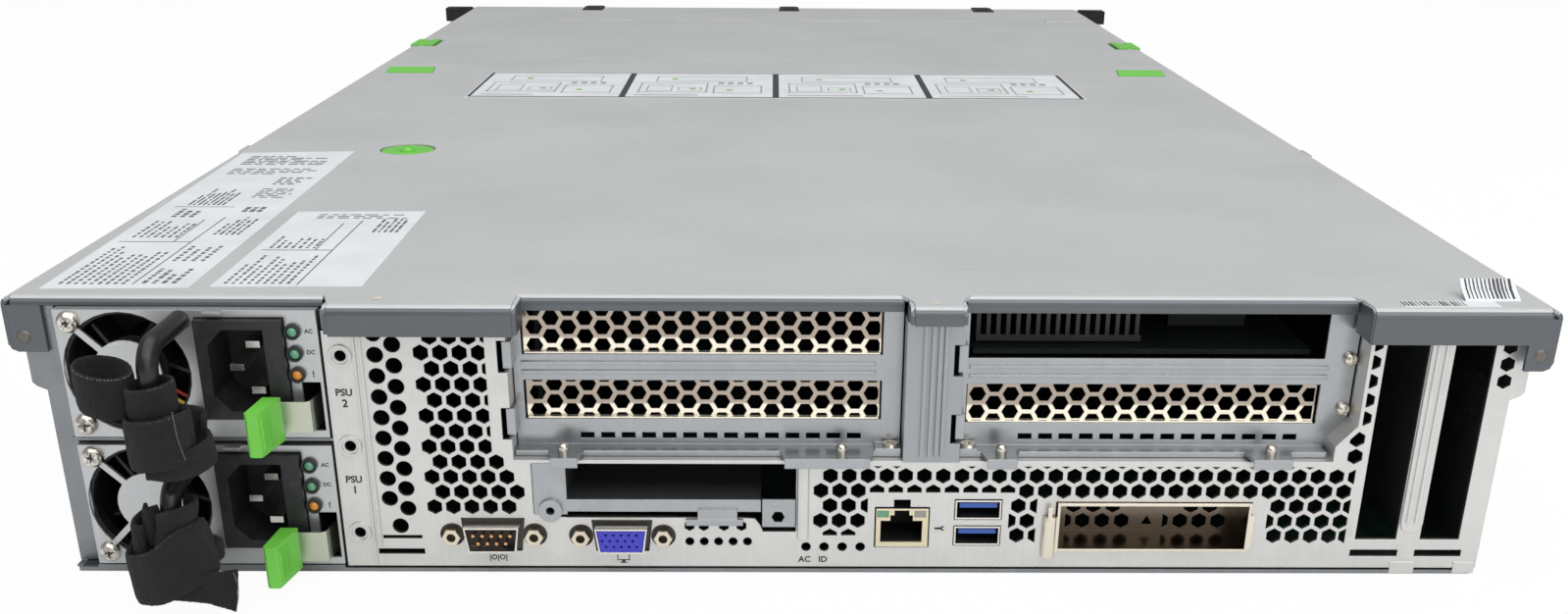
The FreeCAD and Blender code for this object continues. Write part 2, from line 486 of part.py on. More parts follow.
# ---- screws and pins on the rear face
screws = []
for x_mid in (-63.6, 19.0, 66.5, 147.0):
    stud = rod(x_mid, PANEL_Y + 1.2, LEDGE_Z + 1.0, 1.7, 1.6, (0, 0, 1))
    cap = Part.makeSphere(1.7, V(x_mid, PANEL_Y + 1.2, LEDGE_Z + 2.6), V(0, 0, 1), 0, 90, 360)
    screws.append(fuse([stud, cap]))
for x_mid in (33.8, 57.0):
    head = Part.makeCone(2.6, 2.2, 0.9, V(x_mid, LEDGE_Y + 2.8, LEDGE_Z + 1.8), V(0, 0, 1))
    screws.append(head.cut(Part.makeCylinder(1.1, 1.0, V(x_mid, LEDGE_Y + 2.8, LEDGE_Z + 2.1))))
for z_mid in (66.6, 50.9):
    screws.append(Part.makeSphere(2.1, V(169.0, RISER_Y, z_mid), V(0, -1, 0), 0, 90, 360))
save("rear_screws", screws)


# ---- power supplies, the upper one is drawn and the lower one is a copy moved down
def d_handle(thick=HANDLE_R):
    z_low, z_high, y_out, y_root, r = 49.8, 79.9, -22.0, PANEL_Y, 7.0
    s = r * math.sqrt(0.5)
    a = V(HANDLE_X, y_root, z_high)
    b = V(HANDLE_X, y_out + r, z_high)
    b_mid = V(HANDLE_X, y_out + r - s, z_high - r + s)
    c = V(HANDLE_X, y_out, z_high - r)
    d = V(HANDLE_X, y_out, z_low + r)
    d_mid = V(HANDLE_X, y_out + r - s, z_low + r - s)
    e = V(HANDLE_X, y_out + r, z_low)
    f = V(HANDLE_X, y_root, z_low)
    path = Part.Wire([Part.makeLine(a, b), Part.Arc(b, b_mid, c).toShape(), Part.makeLine(c, d),
                      Part.Arc(d, d_mid, e).toShape(), Part.makeLine(e, f)])
    section = Part.Wire(Part.makeCircle(thick, a, V(0, 1, 0)))
    return path.makePipeShell([section], True, True)


def psu_case():
    body = box(PSU_X0, PSU_X1, PANEL_Y + 1.0, PANEL_Y + PSU_LENGTH, PSU_Z0, PSU_Z0 + PSU_HIGH)
    body = body.cut(box(PSU_X0 + 0.9, -168.9, PANEL_Y + 1.0, PANEL_Y + 34, PSU_Z0 + 0.9,
            PSU_Z0 + PSU_HIGH - 0.9))
    body = body.cut(box(-166.6, -141.2, PANEL_Y + 1.0, PANEL_Y + 30, 50.2, 80.6))
    body = body.cut(box(-139.0, PSU_X1 - 0.8, PANEL_Y + 1.0, PANEL_Y + 26, 45.6, 61.4))
    centre = (FAN_X, FAN_Z)
    hub_parts = [plate(disc(centre[0], centre[1], 9.8, PANEL_Y, 28), [], 1.0),
                 rod(centre[0], PANEL_Y + 1.0, centre[1], 2.0, 16.0, (0, 1, 0))]
    for angle in (45, 135, 225, 315):
        arm = box(8.6, 19.6, PANEL_Y, PANEL_Y + 1.0, -0.9, 0.9)
        arm.rotate(V(0, 0, 0), V(0, 1, 0), angle)
        arm.translate(V(centre[0], 0, centre[1]))
        hub_parts.append(arm)
    fan_plate = plate(rect(PSU_X0, -168.2, PSU_Z0, PSU_Z0 + PSU_HIGH, PANEL_Y),
                      [disc(centre[0], centre[1], FAN_R, PANEL_Y, 32)], 1.0)
    right_plate = plate(rect(-168.2, PSU_X1, PSU_Z0, PSU_Z0 + PSU_HIGH, PANEL_Y),
                        [rect(-166.7, -141.1, 50.1, 80.7, PANEL_Y),
                                rect(-138.2, PSU_X1 - 0.9, 46.2, 61.2, PANEL_Y)], 1.0)
    tab = box(-163.4, -158.2, PANEL_Y - 2.2, PANEL_Y + 1, PSU_Z0 + PSU_HIGH - 0.8, PSU_Z0 + PSU_HIGH)
    vents = [box(-158.0 + 6 * k, -155.0 + 6 * k, PANEL_Y + PSU_LENGTH - 4, PANEL_Y + PSU_LENGTH + 1, 52,
            76) for k in range(-4, 4)]
    latch_pin = rod(LATCH_X, LATCH_Y, 45.4, 0.5, 16.2, (0, 0, 1))
    whole = fuse([body, fan_plate, right_plate, tab, latch_pin] + hub_parts)
    for vent in vents:
        whole = whole.cut(vent)
    heads = []
    for x_mid, z_mid in ((-202.4, 79.2), (-202.4, 48.2)):
        head = Part.makeCone(3.1, 2.3, 1.9, V(x_mid, PANEL_Y, z_mid), V(0, -1, 0))
        for slot in (box(x_mid - 1.9, x_mid + 1.9, PANEL_Y - 2.2, PANEL_Y - 1.0, z_mid - 0.35,
                z_mid + 0.35),
                     box(x_mid - 0.35, x_mid + 0.35, PANEL_Y - 2.2, PANEL_Y - 1.0, z_mid - 1.9,
                             z_mid + 1.9)):
            head = head.cut(slot)
        heads.append(head)
    frame = plate(rect(-205.6, -169.0, PSU_Z0 + 1.0, PSU_Z0 + PSU_HIGH - 1.0, PANEL_Y + 1.2),
                  [disc(centre[0], centre[1], FAN_R - 0.9, PANEL_Y + 1.2, 32)], 4.0)
    return [whole] + heads + [frame]


def psu_inlet():
    front = PANEL_Y - 2.4
    mouth = [(-146.8, 53.0), (-146.8, 77.6), (-158.6, 77.6), (-163.0, 73.0), (-163.0, 57.6),
            (-158.6, 53.0)]
    shell = plate(rect(-166.4, -141.4, 50.4, 80.4, front), [poly(mouth, front)], 17.0)
    back = box(-166.4, -141.4, front + 17.0, front + 28.0, 50.4, 80.4)
    parts = [fuse([shell, back])]
    for x_mid, z_mid in ((-151.2, 72.3), (-156.6, 65.3), (-151.2, 58.3)):
        parts.append(box(x_mid - 2.0, x_mid + 2.0, front + 3.5, front + 17.0, z_mid - 1.0, z_mid + 1.0))
    return parts


def psu_lights():
    parts = []
    for z_mid in (76.6, 70.0, 63.6):
        parts.append(ring(-138.9, PANEL_Y - 1.3, z_mid, 2.3, 1.65, 1.3, (0, 1, 0)))
        parts.append(Part.makeSphere(1.6, V(-138.9, PANEL_Y - 0.3, z_mid), V(0, -1, 0), 0, 90, 360))
    return parts


def psu_fan():
    hub = ring(FAN_X, PANEL_Y + 7.0, FAN_Z, 9.0, 2.05, 14.0, (0, 1, 0))
    cap = rod(FAN_X, PANEL_Y + 21.0, FAN_Z, 9.0, 1.2, (0, 1, 0))
    blades = []
    for k in range(5):
        blade = along_y([(8.4, -0.5), (16.5, -3.6), (16.8, -2.6), (8.4, 0.7)], PANEL_Y + 8.0,
                PANEL_Y + 19.0)
        blade.rotate(V(0, 0, 0), V(0, 1, 0), 72 * k)
        blade.translate(V(FAN_X, 0, FAN_Z))
        blades.append(blade)
    return fuse([hub, cap] + blades)


def psu_latch():
    # a moulded grip on a sprung leaf, whose far end is rolled into an eye round a pin of the case
    block = along_z([(-149.6, -13.2), (-148.8, -14.0), (-146.0, -14.0), (-145.6, -13.2), (-143.2, 0.0),
                     (-148.4, 0.0)], 45.2, 58.4)
    ridges = []
    for y0 in (-12.4, -10.8, -9.2, -7.6):
        x0 = -143.2 + 2.4 * y0 / 13.2
        ridges.append(box(x0 - 0.6, x0 + 0.55, y0, y0 + 0.7, 47.0, 56.6))
    leaf = along_z([(-143.36, -0.9), (-136.2, -0.9), (-134.9, 0.1), (-133.4, PANEL_Y + 8.0),
                    (-133.4, LATCH_Y - 0.7), (-134.2, LATCH_Y - 0.7), (-134.2, PANEL_Y + 8.0),
                    (-135.6, 0.5), (-136.4, -0.1), (-143.22, -0.1)], 47.6, 57.2)
    eye = rod(LATCH_X, LATCH_Y, 47.6, 1.1, 9.6, (0, 0, 1))
    leaf = fuse([leaf, eye]).cut(rod(LATCH_X, LATCH_Y, 47.0, 0.6, 11.0, (0, 0, 1)))
    return [fuse([block] + ridges), leaf]


def psu_strap(number):
    # each strap is wound round the handle; the upper one also stands off in an open loop,
    # and the lower one leans and ends in a short tail
    clear = d_handle(HANDLE_R + 0.35)
    if number == 2:
        turns = [ring(HANDLE_X, -23.0, 60.0, 8.2, 3.4, 14.8, (0, 0, 1)),
                 ring(HANDLE_X + 1.6, -23.4, 46.0, 10.2, 3.4, 19.4, (0, 0, 1)),
                 ring(-183.6, -21.0, 62.5, 7.6, 5.9, 12.5, (0, 0, 1))]
        return fuse(turns).cut(clear).Solids
    bunch = ring(HANDLE_X, -23.0, 52.0, 8.4, 3.4, 25.0, (0, 0, 1))
    wrap = ring(0, 0, -9.5, 10.4, 6.0, 19.0, (0, 0, 1))
    wrap.rotate(V(0, 0, 0), V(0, 1, 0), -20)
    wrap.translate(V(HANDLE_X - 1.4, -23.6, 60.4))
    tail = along_y([(HANDLE_X + 5.0, 54.0), (HANDLE_X + 15.0, 46.0), (HANDLE_X + 19.4, 51.4),
                    (HANDLE_X + 19.0, 59.2), (HANDLE_X + 8.0, 62.0)], -29.6, -26.8)
    return fuse([bunch, wrap, tail]).cut(clear).Solids


for number, drop in ((2, 0.0), (1, -PSU_PITCH)):
    tag = "psu_%d_" % number
    save(tag + "case", [lowered(s, drop) for s in psu_case()])
    save(tag + "inlet", [lowered(s, drop) for s in psu_inlet()])
    save(tag + "lights", [lowered(s, drop) for s in psu_lights()])
    save(tag + "fan", [lowered(psu_fan(), drop)])
    save(tag + "latch", [lowered(s, drop) for s in psu_latch()])
    save(tag + "handle", [lowered(d_handle(), drop)])
    save(tag + "strap", [lowered(s, drop) for s in psu_strap(number)])


# ---- rear lid: skin with a stepped rear edge, rolled flanges, side skirts, corner plates and a dished lock seat
def rear_flange(x0, x1, y_out, z_low):
    r_in = BEND - SHEET
    pts = [(y_out + BEND, HEIGHT)]
    pts += [(y_out + BEND - BEND * math.sin(math.radians(a)), HEIGHT - BEND + BEND * math.cos(math.radians(a)))
            for a in (22, 45, 68)]
    pts.append((y_out, HEIGHT - BEND))
    if z_low < HEIGHT - BEND:
        pts += [(y_out, z_low), (y_out + SHEET, z_low)]
    pts.append((y_out + SHEET, HEIGHT - BEND))
    pts += [(y_out + BEND - r_in * math.sin(math.radians(a)), HEIGHT - BEND + r_in * math.cos(math.radians(a)))
            for a in (60, 30)]
    pts += [(y_out + BEND, HEIGHT - SHEET)]
    return along_x(pts, x0, x1)


def side_skirt(y0, y1, z_low):
    r_in = BEND - SHEET
    e = LID_HALF
    pts = [(e - BEND, HEIGHT)]
    pts += [(e - BEND + BEND * math.sin(math.radians(a)), HEIGHT - BEND + BEND * math.cos(math.radians(a)))
            for a in (22, 45, 68)]
    pts += [(e, HEIGHT - BEND), (e, z_low), (e - SHEET, z_low), (e - SHEET, HEIGHT - BEND)]
    pts += [(e - BEND + r_in * math.sin(math.radians(a)), HEIGHT - BEND + r_in * math.cos(math.radians(a)))
            for a in (60, 30)]
    pts += [(e - BEND, HEIGHT - SHEET)]
    right = along_y(pts, y0, y1)
    return [right, mirrored(right)]


def corner_plate(x_edge, x_in, z_low, y_at):
    sign = 1 if x_edge > x_in else -1
    pts = [(x_in, HEIGHT - BEND), (x_in, z_low), (x_edge - sign * 2.6, z_low),
           (x_edge - sign * 0.8, z_low + 0.8), (x_edge, z_low + 2.6), (x_edge, HEIGHT - BEND)]
    return plate(poly(pts, y_at), [], SHEET)


n = LID_NOTCH_Y
m = LEFT_EDGE_Y
left_run = [(-LID_HALF + BEND, m + BEND), (-130.6, m + BEND), (-127.6, BEND), (-75.4, BEND)]
middle_run = [(-75.4, n + BEND), (35.0, n + BEND), (37.2, n - 0.6), (38.8, n - 5.0), (38.8, BEND),
              (52.6, BEND), (52.6, n - 5.0), (54.2, n - 0.6), (56.4, n + BEND), (166.4, n + BEND)]
right_run = [(168.9, n - 0.8), (169.4, BEND), (LID_HALF - BEND, BEND), (LID_HALF - BEND, SEAM_Y),
             (-LID_HALF + BEND, SEAM_Y)]
top_outline = left_run + middle_run + right_run
skin = along_z(top_outline, HEIGHT - SHEET, HEIGHT)
skin = skin.cut(rod(-153.5, 225, HEIGHT - 3, 12.2, 4, (0, 0, 1)))
seat_wall = ring(-153.5, 225, HEIGHT - 2.6, 12.2, 11.4, 2.6, (0, 0, 1))
seat_floor = rod(-153.5, 225, HEIGHT - 2.6, 12.2, 0.55, (0, 0, 1))
lid_parts = [skin, seat_wall, seat_floor]
lid_parts += [rear_flange(-211.4, -130.6, m, HEIGHT - BEND), rear_flange(-127.6, -75.4, 0, 76.6),
              rear_flange(-75.4, 36.4, n, 81.2), rear_flange(38.8, 52.6, 0, 80.2),
              rear_flange(54.8, 168.4, n, 80.9), rear_flange(169.4, 214.4, 0, 75.2)]
lid_parts += [rear_flange(-LID_HALF + BEND, -211.4, m, 76.0),
              rear_flange(214.4, LID_HALF - BEND, 0, 76.0)]
lid_parts += side_skirt(m, SEAM_Y, 71.0)
lid_parts.append(side_skirt(0, m, 71.0)[0])
lid_parts += [corner_plate(-LID_HALF, -211.4, 69.0, m), corner_plate(LID_HALF, 214.4, 67.4, 0)]
# walls that join the outer and the set-back parts of the rear edge
walls = ((-128.8, 77.2, m), (-75.4, 77.2, n), (37.6, 80.6, n), (52.6, 80.6, n), (168.9, 75.4, n))
for x0, z_low, reach in walls:
    side = [(0.3, z_low), (reach + 1.0, z_low), (reach + 1.0, HEIGHT - 0.4), (2.2, HEIGHT - 0.4),
            (0.9, HEIGHT - 1.6), (0.3, HEIGHT - BEND)]
    lid_parts.append(along_x(side, x0, x0 + SHEET))
for side in (-1, 1):
    nub = box(LID_HALF - 0.2, LID_HALF + 0.9, 224.0, 236.0, HEIGHT - BEND, 84.8)
    lid_parts.append(nub if side > 0 else mirrored(nub))
lid = fuse(lid_parts)
pads = []
for side in (-1, 1):
    pad = along_z([(186.5, 435.5), (211.5, 435.5), (214.5, 457.5), (189.5, 457.5)], HEIGHT - 0.6,
            HEIGHT + 0.25)
    seat = along_z([(186.2, 435.2), (211.8, 435.2), (214.8, 457.8), (189.2, 457.8)], HEIGHT - 0.6,
            HEIGHT + 0.3)
    lid = lid.cut(seat if side > 0 else mirrored(seat))
    pads.append(pad if side > 0 else mirrored(pad))
save("lid_pads", pads)

rivet_heads = []
for x_mid, y_at, z_mid in ((-217.6, m, 73.5), (218.45, 0.0, 72.0)):
    rivet_heads.append(Part.makeCone(2.0, 1.5, 0.45, V(x_mid, y_at, z_mid), V(0, -1, 0)))
lid = fuse([lid] + rivet_heads)
# the skin with its bends is one piece, the flanges and the side skirts hang under it
skin_zone = box(-230.0, 230.0, -5.0, 500.0, HEIGHT - BEND, 95.0)
skirt_zone = box(LID_HALF - SHEET, 230.0, -5.0, 500.0, 60.0, HEIGHT - BEND)
hanging = lid.cut(skin_zone)
skirts = [hanging.common(skirt_zone), hanging.common(mirrored(skirt_zone))]
flanges = hanging.cut(skirt_zone).cut(mirrored(skirt_zone))
save("rear_lid", [lid.common(skin_zone), flanges] + skirts)

# ---- lid lock: a coin-slotted disc in the dished seat
lock = rod(-153.5, 225, HEIGHT - 2.0, 10.6, 1.5, (0, 0, 1))
lock_screw = Part.makeSphere(2.6, V(-153.5, 225, HEIGHT - 1.3), V(0, 0, 1), 10, 90, 360)
lock_screw = lock_screw.cut(box(-155.6, -151.4, 224.6, 225.4, HEIGHT + 0.2, HEIGHT + 2))
save("lid_lock", [fuse([lock, rod(-153.5, 225, HEIGHT - 0.6, 3.4, 0.5, (0, 0, 1)), lock_screw])])

# ---- stickers on the lids, blank of any name
sheet_z = HEIGHT + 0.02
labels = [along_z([(-214.4, 16.0), (-171.7, 17.7), (-174.0, 219.5), (-218.5, 215.0)], sheet_z,
        sheet_z + 0.15),
          along_z([(-165.9, 18.7), (-121.8, 19.8), (-122.8, 114.2), (-166.8, 112.6)], sheet_z,
                  sheet_z + 0.15),
          along_z([(-154.4, 356.0), (154.2, 357.0), (153.6, 438.6), (-153.9, 436.8)], sheet_z,
                  sheet_z + 0.15)]
flat = along_z([(178.0, 8.6), (206.0, 8.6), (206.0, 2.8), (178.0, 2.8)], sheet_z, sheet_z + 0.15)
curl = along_x([(8.6, sheet_z), (13.0, sheet_z + 2.2), (15.5, sheet_z + 4.8), (15.3, sheet_z + 5.0),
                (12.8, sheet_z + 2.5), (8.6, sheet_z + 0.15)], 198.0, 214.0)
labels.append(fuse([flat, curl]))
save("lid_labels", labels)


# ---- front lid with two side grips, and the fixed front top panel with its hooks
front_skin = box(-LID_HALF + BEND, LID_HALF - BEND, SEAM_Y + 0.6, LID_FRONT_Y - 0.6, HEIGHT - SHEET,
        HEIGHT)
front_parts = [front_skin] + side_skirt(SEAM_Y + 0.6, LID_FRONT_Y - 0.6, 71.0)
front_parts.append(box(-207.0, 207.0, SEAM_Y + 0.6, SEAM_Y + 1.6, HEIGHT - 6, HEIGHT))
front_lid = fuse(front_parts)
for side in (-1, 1):
    pocket = box(206.9, 225.0, 544.0, 573.0, 74.8, HEIGHT + 1)
    front_lid = front_lid.cut(pocket if side > 0 else mirrored(pocket))
for k in range(5):
    x0 = -155.0 + 85.5 * k
    hook = box(x0, min(x0 + 57.0, 214.0), LID_FRONT_Y - 6.0, LID_FRONT_Y - 0.6, HEIGHT - 0.6,
            HEIGHT + 0.5)
    front_lid = front_lid.fuse(hook)
save("front_lid", [front_lid.removeSplitter()])


def lid_grip(side):
    cap = along_z([(208.9, 545.0), (221.9, 545.0), (222.3, 546.0), (222.3, 571.0), (221.9, 572.0),
            (208.9, 572.0)],
                  HEIGHT - 8.0, HEIGHT + 0.6)
    scoop = rod(215.6, 545.0, HEIGHT + 3.4, 3.6, 27.0, (0, 1, 0))
    cap = cap.cut(scoop)
    return cap if side > 0 else mirrored(cap)


save("lid_grip_left", [lid_grip(-1)])
save("lid_grip_right", [lid_grip(1)])

front_top = [box(-LID_HALF + BEND, LID_HALF - BEND, LID_FRONT_Y, EAR_Y - 3.0, HEIGHT - SHEET, HEIGHT)]
front_top += side_skirt(LID_FRONT_Y, EAR_Y - 3.0, 59.4)
front_top_shape = fuse(front_top)
for x_mid in (-133.4, 9.6, 151.6):
    front_top_shape = front_top_shape.cut(box(x_mid - 7.4, x_mid + 7.4, 742.0, 766.0, HEIGHT - 0.6,
            HEIGHT + 1))
save("front_top", [front_top_shape])
hooks = []
for x_mid in (-133.4, 9.6, 151.6):
    base = box(x_mid - 7.1, x_mid + 7.1, 742.3, 764.6, HEIGHT - 0.55, HEIGHT + 0.6)
    nose = box(x_mid - 6.0, x_mid + 6.0, 764.6, 768.0, HEIGHT - 3.0, HEIGHT + 0.6)
    bump = box(x_mid - 4.0, x_mid + 4.0, 749.0, 752.0, HEIGHT + 0.6, HEIGHT + 1.2)
    hooks.append(fuse([base, nose, bump]))
save("front_hooks", hooks)


# ---- rack ears with slotted holes, and their black end caps
def rack_ear(side):
    face = box(LOWER_HALF, EAR_HALF, EAR_Y - 3.0, EAR_Y, 1.0, 84.8)
    for z_mid in EAR_SLOT_Z:
        slot = fuse([box(EAR_SLOT_X - 1.6, EAR_SLOT_X + 1.6, EAR_Y - 4.0, EAR_Y + 1.0, z_mid - EAR_SLOT_R,
                         z_mid + EAR_SLOT_R)] +
                    [rod(EAR_SLOT_X + dx, EAR_Y - 4.0, z_mid, EAR_SLOT_R, 5.0, (0, 1, 0))
                     for dx in (-1.6, 1.6)])
        face = face.cut(slot)
    wing = box(LOWER_HALF, LOWER_HALF + 2.0, EAR_Y - 40, EAR_Y - 3.0, 6.0, 54.0)
    shape = fuse([face, wing])
    return shape if side > 0 else mirrored(shape)


save("rack_ears", [rack_ear(-1), rack_ear(1)])


def ear_cap(side):
    outer = along_z([(219.0, EAR_Y), (240.9, EAR_Y), (240.9, EAR_Y + 8.0), (237.5, EAR_Y + 13.0),
            (222.0, EAR_Y + 13.0),
                     (219.0, EAR_Y + 10.0)], 14.0, 72.0)
    top_wedge = along_z([(241.1, EAR_Y - 16.0), (241.1, EAR_Y - 3.1), (223.6, EAR_Y - 3.1),
            (223.6, EAR_Y - 6.0)],
                        76.6, HEIGHT)
    shapes = [outer, top_wedge]
    return shapes if side > 0 else [mirrored(s) for s in shapes]


save("ear_caps", ear_cap(-1) + ear_cap(1))

# ---- front face: drive openings, air vents and a switch hole
front_holes = []
for k in range(4):
    x_mid = DRIVE_PITCH * (k - 1.5)
    front_holes.append(rect(x_mid - DRIVE_WIDE / 2 - 0.5, x_mid + DRIVE_WIDE / 2 + 0.5, DRIVE_Z - 0.5,
                            DRIVE_Z + DRIVE_HIGH + 0.5, EAR_Y - 3.0))
for row in range(4):
    for col in range(22):
        x_mid = -190 + 16.0 * col + (8.0 if row % 2 else 0.0)
        front_holes.append(hexagon(x_mid, 41.0 + 11.5 * row, 5.6, 30, EAR_Y - 3.0))
front_holes.append(disc(195.0, 62.0, 6.6, EAR_Y - 3.0, 24))
save("front_panel", [plate(rect(-214.0, 214.0, 1.6, 83.6, EAR_Y - 3.0), front_holes, 2.0)])
button = fuse([rod(195.0, EAR_Y - 9.0, 62.0, 6.2, 10.2, (0, 1, 0)),
        rod(195.0, EAR_Y - 9.0, 62.0, 8.0, 2.0, (0, 1, 0))])
save("power_button", [button])

# ---- drive cage and four drive carriers with swing levers
cage_parts = [box(-213.2, 213.2, 590.0, EAR_Y - 3.0, 32.0, 33.0),
        box(-213.2, 213.2, 590.0, EAR_Y - 3.0, 3.0, 4.0)]
for k in range(5):
    x_wall = DRIVE_PITCH * (k - 2)
    cage_parts.append(box(x_wall - 0.5, x_wall + 0.5, 590.0, EAR_Y - 3.0, 3.0, 33.0))
backplane = plate(rect(-213.2, 213.2, 3.0, 60.0, 588.0), [rect(-200 + 80 * k, -150 + 80 * k, 36.0, 54.0,
        588.0) for k in range(5)], 2.0)
save("drive_cage", [fuse(cage_parts), backplane])
for k in range(4):
    x_mid = DRIVE_PITCH * (k - 1.5)
    z_mid = DRIVE_Z + DRIVE_HIGH / 2
    half = DRIVE_WIDE / 2
    body = box(x_mid - half + 1.0, x_mid + half - 1.0, 610.0, EAR_Y - 4.0, DRIVE_Z + 0.3,
            DRIVE_Z + DRIVE_HIGH - 0.3)
    head = box(x_mid - half, x_mid + half, EAR_Y - 4.0, EAR_Y + 5.0, DRIVE_Z, DRIVE_Z + DRIVE_HIGH)
    pocket = box(x_mid - half + 14.0, x_mid + half - 3.0, EAR_Y - 1.0, EAR_Y + 6.0, DRIVE_Z + 3.0,
            DRIVE_Z + DRIVE_HIGH - 3.0)
    key = box(x_mid - half + 3.0, x_mid - half + 10.0, EAR_Y + 5.0, EAR_Y + 6.0, z_mid - 5.0, z_mid + 5.0)
    vents = [box(x_mid - half + 20.0 + 9 * j, x_mid - half + 26.0 + 9 * j, EAR_Y - 3.0, EAR_Y + 6,
            z_mid - 7, z_mid + 7)
             for j in range(8)]
    carrier = fuse([body, head, key]).cut(pocket)
    for vent in vents:
        carrier = carrier.cut(vent)
    x_pin = x_mid + half - 6.0
    carrier = carrier.cut(rod(x_pin, EAR_Y + 2.2, z_mid - 11.0, 1.55, 22.0, (0, 0, 1)))
    save("drive_%d" % (k + 1), [carrier])
    arm = along_z([(x_mid - half + 15.5, EAR_Y + 1.2), (x_pin + 2.0, EAR_Y + 0.4),
            (x_pin + 2.0, EAR_Y + 4.2),
                   (x_mid - half + 15.5, EAR_Y + 5.2)], z_mid - 7.5, z_mid + 7.5)
    window = box(x_mid - half + 21.0, x_pin - 8.0, EAR_Y - 1, EAR_Y + 7, z_mid - 4.6, z_mid + 4.6)
    grip_bars = [box(x_mid - half + 15.7 + 1.5 * j, x_mid - half + 16.4 + 1.5 * j, EAR_Y + 4.6,
            EAR_Y + 5.8, z_mid - 6, z_mid + 6)
                 for j in range(3)]
    pin = rod(x_pin, EAR_Y + 2.2, z_mid - 10.8, 1.5, 21.6, (0, 0, 1))
    save("drive_lever_%d" % (k + 1), [fuse([arm.cut(window), pin] + grip_bars)])

# ---- four fan modules across the chassis
fan_frames = []
for k in range(4):
    x_mid = FAN_PITCH * (k - 1.5)
    frame = box(x_mid - FAN_SIDE / 2, x_mid + FAN_SIDE / 2, 520.0, 558.0, FAN_LOW, FAN_LOW + FAN_SIDE)
    frame = frame.cut(rod(x_mid, 519.0, FAN_LOW + FAN_SIDE / 2, 36.5, 40.0, (0, 1, 0)))
    struts = [ring(x_mid, 522.0, FAN_LOW + FAN_SIDE / 2, 17.0, 3.0, 2.0, (0, 1, 0))]
    for angle in (45, 135, 225, 315):
        arm = box(16.0, 37.4, 522.0, 524.0, -1.5, 1.5)
        arm.rotate(V(0, 0, 0), V(0, 1, 0), angle)
        arm.translate(V(x_mid, 0, FAN_LOW + FAN_SIDE / 2))
        struts.append(arm)
    pin = rod(x_mid, 522.0, FAN_LOW + FAN_SIDE / 2, 3.0, 24.0, (0, 1, 0))
    fan_frames.append(fuse([frame] + struts + [pin]))
    hub = ring(x_mid, 526.0, FAN_LOW + FAN_SIDE / 2, 16.5, 3.05, 22.0, (0, 1, 0))
    cap = rod(x_mid, 548.0, FAN_LOW + FAN_SIDE / 2, 16.5, 2.0, (0, 1, 0))
    blades = []
    for j in range(7):
        blade = along_y([(16.0, -1.0), (35.2, -9.0), (35.6, -7.2), (16.0, 1.2)], 528.0, 548.0)
        blade.rotate(V(0, 0, 0), V(0, 1, 0), 360.0 * j / 7)
        blade.translate(V(x_mid, 0, FAN_LOW + FAN_SIDE / 2))
        blades.append(blade)
    save("cooling_fan_%d" % (k + 1), [fuse([hub, cap] + blades)])
rail = [box(-184.0, 184.0, 516.0, 519.6, 1.4, 12.0), box(-184.0, 184.0, 558.4, 562.0, 1.4, 12.0)]
save("fan_frames", fan_frames + rail)

# ---- main board, processor coolers, memory and the air duct over them
board = box(-125.0, 208.0, 18.0, 500.0, 4.8, 6.4)
standoffs = [rod(x_s, y_s, 1.3, 2.4, 3.5, (0, 0, 1)) for x_s in (-115.0, 40.0, 198.0) for y_s in (40.0,
        240.0, 480.0)]
sockets = [box(x_s, x_s + 60, 300.0, 360.0, 6.4, 9.0) for x_s in (-60.0, 90.0)]
save("main_board", [fuse([board] + standoffs + sockets)])
coolers = []
for x_c in (-75.0, 75.0):
    base = box(x_c, x_c + 90, 285.0, 375.0, 9.0, 13.0)
    fins = [box(x_c + 1.0 + 5.8 * j, x_c + 2.2 + 5.8 * j, 285.0, 375.0, 13.0, 62.0) for j in range(16)]
    coolers.append(fuse([base] + fins))
save("processor_coolers", coolers)
modules = []
for x_first in (-118.0, 24.0, 170.0):
    for j in range(4):
        x_m = x_first + 9.2 * j
        stick = box(x_m, x_m + 1.6, 263.0, 397.0, 9.0, 39.0)
        modules.append(fuse([stick, box(x_m - 2.4, x_m + 4.0, 260.0, 400.0, 6.4, 9.0)]))
save("memory_modules", modules)
duct_top = box(-126.5, 210.0, 255.0, 512.0, 66.0, 68.0)
duct_sides = [box(-128.5, -126.5, 255.0, 512.0, 2.1, 68.0), box(210.0, 212.0, 255.0, 512.0, 2.1, 68.0)]
duct_rib = [box(-126.5, 210.0, 300.0 + 60 * k, 302.0 + 60 * k, 68.0, 71.0) for k in range(3)]
save("air_duct", [fuse([duct_top] + duct_sides + duct_rib)])
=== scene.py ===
# %% [markdown]
# # A 2U rack server, dressed for rendering
# The metal frame of the server is already built and packed. This lesson gives every sheet, screw and
# moulding its finish, and adds the things that are quicker and better made as surfaces: the cloth straps,
# the screw heads, the fan wires, the lettering and the print on the stickers.
# The first cell loads the frame. All lengths below are written in millimetres and turned to metres once.

